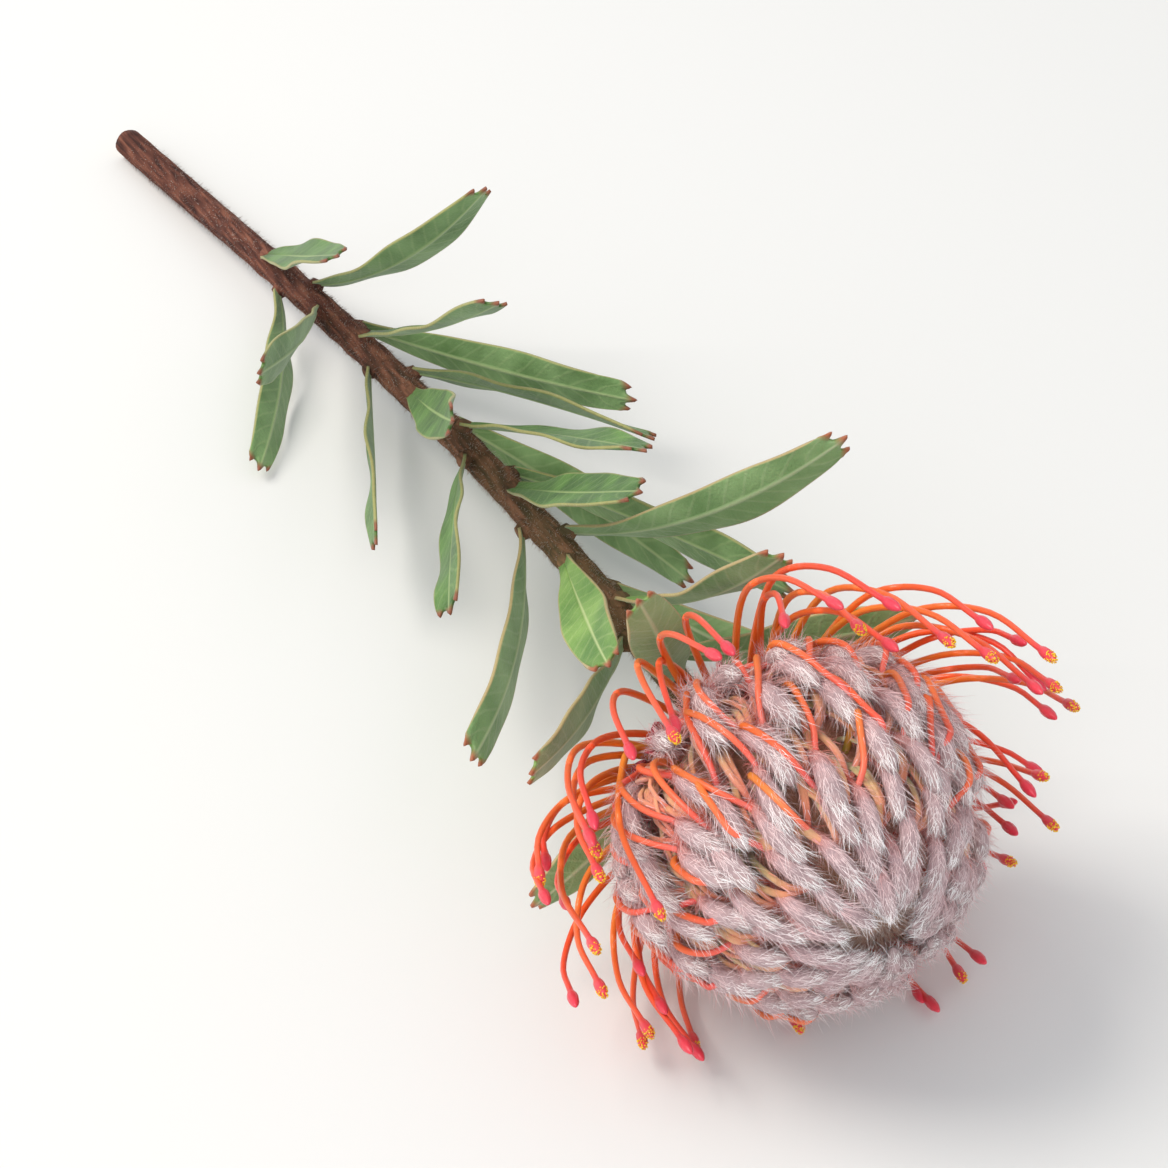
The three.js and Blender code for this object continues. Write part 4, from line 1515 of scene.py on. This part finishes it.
@dataclass
class Involucre:
    """The downy cup under the head and its rows of pointed bracts.

    A row is its count of bracts, then the radius and height of their roots and of their points.
    """

    outline: Pairs = (
        (0, -10.5), (4.6, -10.5), (9, -7.5), (15, -3.6), (19, -0.6), (17.5, 0.5), (0, 0.5),
    )
    rows: tuple[tuple[int, float, float, float, float], ...] = (
        (9, 5.2, -10.0, 9.5, -8.4), (12, 7.0, -8.8, 13.0, -6.0), (15, 10.4, -6.6, 18.0, -3.4),
        (18, 13.6, -4.6, 21.4, -1.6), (20, 16.4, -2.8, 23.6, -0.4),
    )
    row_offset: float = 0.37
    row_draws: int = 40
    lift: Limits = (-0.5, 0.7)
    sunk: float = 1.2
    root_rise: float = 0.9
    sag: float = 0.6
    profile: Pairs = (
        (0, 1.65), (0.3, 2.2), (0.55, 2.09), (0.8, 1.32), (0.93, 0.616), (1, 0.11),
    )
    thinness: float = 0.28
    fur: Fur = Fur(190, (1.2, 2.4), 0.17, lean=(12, 45), span=(0.05, 1.0))

    def build(self) -> None:
        """Makes the cup, the bracts and their down."""
        show_turned(
            "involucral_cup", self.outline, steps=56, tint=0.6, place=0.3,
            finish=BRACT_SKIN,
        )
        bracts = Tubes(tube_template("bract", sides=10, rings=12, pointed=True))
        coat = FurCoat(self.fur, Seed.BRACT)
        for row, (count, radius, height, reach, rise) in enumerate(self.rows):
            for bract in range(count):
                number = bract + row * self.row_draws
                turn = (bract / count + row * self.row_offset) * 2 * math.pi
                marks = (
                    (radius - self.sunk, height + self.root_rise),
                    ((radius + reach) / 2, (height + rise) / 2 - self.sag),
                    (reach, rise + spread(number, Draw.BRACT_RISE, self.lift)),
                )
                line = smooth_line(DOME.line(marks, [turn] * 3), steps=12)
                sweep = Sweep(line, SHOOT.outward(1, turn))
                bracts.add(sweep, self.profile, jitter(number, Draw.BRACT_RISE), self.thinness)
                coat.grow(sweep, self.profile, brightness=0.6, flatness=self.thinness)
        bracts.show("involucral_bracts", BRACT_SKIN, Slot.BRACT, ["involucre"])
        coat.finish("bract_down", BRACT_HAIR, Slot.BRACT)


@dataclass
class LeafSeat:
    """Where a leaf grows from the shoot."""

    number: int
    rank: float
    share: float
    outward: np.ndarray
    root: np.ndarray


@dataclass
class LeafPath:
    """The way that one leaf goes from the shoot: angles are radians and its length is mm."""

    length: float
    lean: float
    curl: float
    sway: float
    forward: np.ndarray
    outward: np.ndarray

    def heading(self, share: np.ndarray) -> np.ndarray:
        """Gives its heading at shares of its length: it turns outwards and sideways as it goes."""
        angle, bend = self.lean + self.curl * share, self.sway * share
        sideways = unit(np.cross(self.forward, self.outward))
        return unit(
            self.forward * (np.cos(angle) * np.cos(bend))[:, None]
            + self.outward * np.sin(angle)[:, None]
            + sideways * (np.cos(angle) * np.sin(bend))[:, None]
        )


@dataclass
class Foliage:
    """The leaves: leathery straps in golden-angle steps, each with three toothed points.

    A tooth is its height in tooth lengths, its place across the blade and half its width.
    """

    count: int = 23
    first_at: float = 88.0
    last_at: float = 321.0
    first_turn: float = 0.5
    lowest_turn: float = math.radians(118)
    cushion_reach: float = 1.3
    length: float = 72.0
    length_varies: Limits = (0.88, 1.12)
    top_length: float = 0.66
    top_from: float = 0.72
    top_curl: float = 22.0
    width: float = 12.5
    base_width: float = 0.3
    swell_power: float = 1.25
    swell_end: float = 0.86
    thickness: float = 0.75
    rest_height: float = 0.56
    cad_steps: int = 6
    path_steps: int = 120
    lean: Limits = (24.0, 36.0)
    curl: Limits = (-14.0, 34.0)
    sway: Limits = (-14.0, 14.0)
    twist: Limits = (-24.0, 24.0)
    wave: float = 0.9
    waves: int = 3
    ripple: float = 0.35
    ripple_rate: float = 17.0
    ripple_shift: float = 2.1
    groove: float = 0.3
    groove_width: float = 0.07
    groove_power: int = 4
    trough: float = 0.16
    trough_power: float = 1.4
    tooth_length: float = 0.055
    tooth_from: float = 0.84
    teeth: tuple[tuple[float, float, float], ...] = ((0.7, 0.0, 0.34), (0.55, 0.78, 0.28))
    end_reach: float = 0.65
    end_round: float = 0.5
    sunk: float = 0.2
    head_room: float = 6.0
    columns: int = 24
    rows: int = 44
    young_from: float = 0.62
    young_share: float = 0.2

    def seats(self) -> list[LeafSeat]:
        """Sets the leaves up the shoot, with none straight below it."""
        made = []
        for leaf in range(self.count):
            rank = leaf / (self.count - 1)
            share = lerp(self.first_at, self.last_at, rank) / SHOOT.run
            turn = (leaf * GOLDEN_ANGLE + self.first_turn) % (2 * math.pi)
            if turn > math.pi:
                turn -= 2 * math.pi
            outward = SHOOT.outward(share, turn * self.lowest_turn / math.pi)
            made.append(LeafSeat(leaf, rank, share, outward, SHOOT.point(share)))
        return made

    def path(self, seat: LeafSeat) -> LeafPath:
        """Draws a leaf's own lengths and angles, and keeps it clear of the head."""
        top = ease(seat.rank, (self.top_from, 1))
        varied = spread(seat.number, Draw.LEAF_LENGTH, self.length_varies)
        length = self.length * lerp(varied, self.top_length, top)
        own_curl = spread(seat.number, Draw.LEAF_CURL, self.curl)
        curl = math.radians(lerp(own_curl, self.top_curl, top))
        room = (1 - seat.share) * SHOOT.run - self.head_room
        clear = math.acos(min(room / length, 1)) - curl / 2
        lean = max(math.radians(spread(seat.number, Draw.LEAF_LEAN, self.lean)), clear)
        sway = math.radians(spread(seat.number, Draw.LEAF_SWAY, self.sway))
        forward = SHOOT.frame_along(seat.share)[0]
        return LeafPath(length, lean, curl, sway, forward, seat.outward)

    def surface(self, seat: LeafSeat, across: np.ndarray, share: np.ndarray) -> np.ndarray:
        """Gives points of the blade from their place across it, -1 to 1, and along it, 0 to 1."""
        path = self.path(seat)
        fine = np.linspace(0, 1, self.path_steps + 1)
        headings = path.heading(fine[:-1] + 0.5 / self.path_steps - 0.5 / self.cad_steps)
        gone = np.cumsum(headings * path.length / self.path_steps, axis=0)
        start = SHOOT.radius(0.5) + self.cushion_reach - self.sunk
        centre = seat.root + seat.outward * start + np.vstack([np.zeros(3), gone])
        point = np.stack([np.interp(share, fine, column) for column in centre.T], axis=1)
        ahead = path.heading(share)
        width = unit(np.cross(ahead, seat.outward))
        face = unit(np.cross(width, ahead))
        twist = math.radians(spread(seat.number, Draw.LEAF_TWIST, self.twist)) * share[:, None]
        turned = width * np.cos(twist) + face * np.sin(twist)
        lift = unit(np.cross(turned, ahead))
        swell = np.sin(math.pi * share ** self.swell_power * self.swell_end)
        half = self.width / 2 * lerp(self.base_width, 1, swell)
        wave = self.wave * share * np.sin(share * self.waves * math.pi + seat.number)
        phase = share * self.ripple_rate + seat.number * self.ripple_shift + across
        ripple = np.sin(phase) * self.ripple * across ** 2
        groove = self.groove * np.exp(-(across / self.groove_width) ** 2)
        groove *= 1 - share ** self.groove_power
        trough = -self.trough * half * (1 - np.abs(across) ** self.trough_power)
        rise = trough + across * wave + ripple - groove
        teeth = self.tooth(across) * smoothstep(share, self.tooth_from, 1.0)
        reach = path.length * self.tooth_length * teeth
        placed = point + turned * (half * across)[:, None] + lift * rise[:, None]
        return settle(placed + ahead * reach[:, None], self.rest_height)

    def tooth(self, across: np.ndarray) -> np.ndarray:
        """Gives how far the toothed end reaches past the last row, in tooth lengths."""
        away = np.abs(across)
        reach = self.end_reach - self.end_round * away ** 2
        for height, place, half in self.teeth:
            near = np.clip(np.abs(away - place) / half, 0, 1)
            reach += height * np.cos(near * math.pi / 2) ** 2
        return reach

    def build(self) -> None:
        """Makes one blade for each leaf."""
        for seat in self.seats():
            bm = bmesh.new()
            bm.loops.layers.uv.new(UV_NAME)
            bmesh.ops.create_grid(
                bm, x_segments=self.columns, y_segments=self.rows, size=1.0, calc_uvs=True,
            )
            number = f"{seat.number + 1:02d}"
            mesh = finished_mesh(f"blade_{number}", bm)
            flat = corners_of(mesh)
            place_points(mesh, self.surface(seat, flat[:, 0], (flat[:, 1] + 1) / 2))
            early = jitter(seat.number, Draw.LEAF_AGE) < self.young_share
            sides = LEAF_SIDES["young" if early or seat.rank > self.young_from else "grown"]
            piece = show(f"blade_{number}", mesh, sides, [f"leaf_{number}"])
            thick = piece.modifiers.new("thickness", "SOLIDIFY")
            thick.thickness = self.thickness * MM
            thick.offset = 0.0
            thick.material_offset = 1


@dataclass
class Stem:
    """The woody stem with its leaf cushions, its cut end and its fine down."""

    rings: int = 130
    sides: int = 22
    line_steps: int = 89
    bark_width: float = 0.1
    sapwood_width: float = 0.66
    node_swell: float = 0.07
    node_length: float = 0.008
    ridges: int = 5
    ridge_twist: float = 9.0
    ridge_depth: float = 0.02
    ripples: float = 160.0
    ripple_depth: float = 0.015
    buried: float = 1.0
    cushion_root: float = 1.4
    cushion_radii: Limits = (3.0, 1.7)
    cushion_stretch: float = 1.25
    cushion_back: float = 1.2
    cushion_power: float = 0.8
    cushion_lip: float = 0.4
    fur: Fur = Fur(13000, (1.0, 2.2), 0.13, lean=(15, 65), span=(0.02, 1.0), crowding=0.8)

    def build(self, seats: Sequence[LeafSeat], reach: float) -> None:
        """Makes the wood with a cushion under each leaf, and the down on it.

        Args:
            seats: Where the leaves grow.
            reach: How far a cushion stands out of the wood, in mm.
        """
        top = 1 - (SHOOT.cup_depth - self.buried) / SHOOT.run
        shares = np.linspace(0, top, self.line_steps + 1)
        sweep = Sweep(np.array([SHOOT.point(share) for share in shares]), UP)
        wood = self.wood_template()
        cushion = tube_template("cushion", sides=12, rings=5)
        bm = bmesh.new()
        bm.from_mesh(wood)
        bodies = [sweep.bend(self.wood_shape(corners_of(wood), seats) * [1, 1, sweep.length])]
        for seat in seats:
            bm.from_mesh(cushion)
            bodies.append(self.cushion(corners_of(cushion), seat, reach))
        mesh = finished_mesh("stem_wood", bm)
        place_points(mesh, np.maximum(np.concatenate(bodies), [-np.inf, -np.inf, 0.0]))
        show("stem_wood", mesh, [BARK, SAPWOOD, PITH], ["stem"])
        coat = FurCoat(self.fur, Seed.STEM)
        coat.grow(sweep, ((0, SHOOT.radius_cut), (1, SHOOT.radius_top)))
        coat.finish("stem_down", STEM_HAIR, Slot.WOOD)

    def wood_template(self) -> bpy.types.Mesh:
        """Makes the straight stem with rings of bark, sapwood and pith on its cut face."""
        bm = bmesh.new()
        bm.from_mesh(tube_template("tube", self.sides, self.rings))
        cut = [
            face for face in bm.faces
            if all(corner.co.z < CUT_TOLERANCE for corner in face.verts)
        ]
        for index, width in enumerate((self.bark_width, self.sapwood_width)):
            rim = bmesh.ops.inset_region(bm, faces=cut, thickness=width, depth=0.0)["faces"]
            for face in rim:
                face.material_index = index
        for face in cut:
            face.material_index = 2
        return finished_mesh("wood", bm)

    def wood_shape(self, straight: np.ndarray, seats: Sequence[LeafSeat]) -> np.ndarray:
        """Gives the straight stem its taper, its ridges and a swelling at each leaf."""
        share = straight[:, 2]
        angle = np.arctan2(straight[:, 1], straight[:, 0])
        relief = self.ridge_depth * np.sin(self.ridges * angle + share * self.ridge_twist)
        relief += self.ripple_depth * np.sin(share * self.ripples + 2 * angle)
        swell = sum(np.exp(-((share - seat.share) / self.node_length) ** 2) for seat in seats)
        radius = lerp(SHOOT.radius_cut, SHOOT.radius_top, share)
        shaped = straight.copy()
        shaped[:, :2] *= (radius * (1 + relief + self.node_swell * swell))[:, None]
        return shaped

    def cushion(self, template: np.ndarray, seat: LeafSeat, reach: float) -> np.ndarray:
        """Places the swelling under one leaf, which leans the way that the leaf goes."""
        forward = SHOOT.frame_along(seat.share)[0]
        side = np.cross(forward, seat.outward)
        radius = lerp(*self.cushion_radii, template[:, 2] ** self.cushion_power)
        lip = SHOOT.radius(0.5) + reach + self.cushion_lip
        away = lerp(self.cushion_root, lip, template[:, 2])
        back = self.cushion_back * (1 - template[:, 2])
        along = template[:, 0] * radius * self.cushion_stretch - back
        return (
            seat.root + seat.outward * away[:, None] + forward * along[:, None]
            + side * (template[:, 1] * radius)[:, None]
        )


@dataclass
class Studio:
    """A pale surface, plain soft light and the camera, which looks down on the flower."""

    azimuth: float = 60.0
    elevation: float = 42.0
    lens: float = 85.0
    distance: float = 0.65
    target: tuple[float, float, float] = (0.053, 0.012, 0.02)
    floor_size: float = 12.0
    room_light: float = 0.7
    nearest: float = 0.01

    def build(self) -> None:
        """Makes the surface, the lights and the camera."""
        floor = self.floor()
        scene = bpy.context.scene
        scene.view_settings.view_transform = "Standard"
        world = bpy.data.worlds.new("pale_room")
        world.use_nodes = True
        sky = world.node_tree.nodes["Background"]
        sky.inputs["Color"].default_value = linear("#f7fbff")
        sky.inputs["Strength"].default_value = self.room_light
        scene.world = world
        self.light("key", (-0.7, -0.9, 1.5), power=27.0, size=1.0, colour="#fffaf2")
        self.light("fill", (1.3, -0.9, 0.9), power=8.0, size=1.2, colour="#f3f8ff")
        camera = bpy.data.objects.new("camera", bpy.data.cameras.new("camera"))
        scene.collection.objects.link(camera)
        turn, lift = math.radians(self.azimuth), math.radians(self.elevation)
        back = Vector((
            math.sin(turn) * math.cos(lift), -math.cos(turn) * math.cos(lift), math.sin(lift),
        ))
        camera.location = Vector(self.target) + back * self.distance
        camera.rotation_mode = "QUATERNION"
        camera.rotation_quaternion = (-back).to_track_quat("-Z", "Y")
        camera.data.lens = self.lens
        camera.data.clip_start = self.nearest
        scene.camera = camera

    def floor(self) -> bpy.types.Object:
        """Makes the pale surface that the flower lies on."""
        bm = bmesh.new()
        bmesh.ops.create_grid(bm, x_segments=1, y_segments=1, size=self.floor_size / 2)
        mesh = finished_mesh("surface", bm)
        made = bpy.data.materials.new("pale_matt_board")
        made.use_nodes = True
        shader = made.node_tree.nodes["Principled BSDF"]
        shader.inputs["Base Color"].default_value = linear("#e2e1df")
        shader.inputs["Roughness"].default_value = 0.8
        mesh.materials.append(made)
        floor = bpy.data.objects.new("surface", mesh)
        bpy.context.scene.collection.objects.link(floor)
        return floor

    def light(
        self, name: str, place: tuple[float, float, float], power: float, size: float, colour: str,
    ) -> None:
        """Hangs a soft square light that points at the flower."""
        data = bpy.data.lights.new(name, "AREA")
        data.energy = power
        data.size = size
        data.color = linear(colour)[:3]
        lamp = bpy.data.objects.new(name, data)
        lamp.location = place
        aim = Vector(self.target) - Vector(place)
        lamp.rotation_mode = "QUATERNION"
        lamp.rotation_quaternion = aim.to_track_quat("-Z", "Y")
        bpy.context.scene.collection.objects.link(lamp)


def main() -> None:
    """Builds the flower from the cut end to the styles, and the studio round it."""
    logging.basicConfig(level=logging.INFO, format="%(name)s %(message)s")
    LOG.info("origin %s", ORIGIN)
    Studio().build()
    foliage = Foliage()
    Stem().build(foliage.seats(), foliage.cushion_reach)
    foliage.build()
    Involucre().build()
    florets = SilkyFlorets()
    buds = florets.buds()
    Receptacle().build()
    florets.build_clubs(buds)
    Ribbons().build(buds)
    florets.build_silk(buds)
    DISC.build()
    HeldStyles().build(buds, florets.spines(buds))
    ReleasedStyles().build()
    RolledSegments().build()


if __name__ == "__main__":
    main()
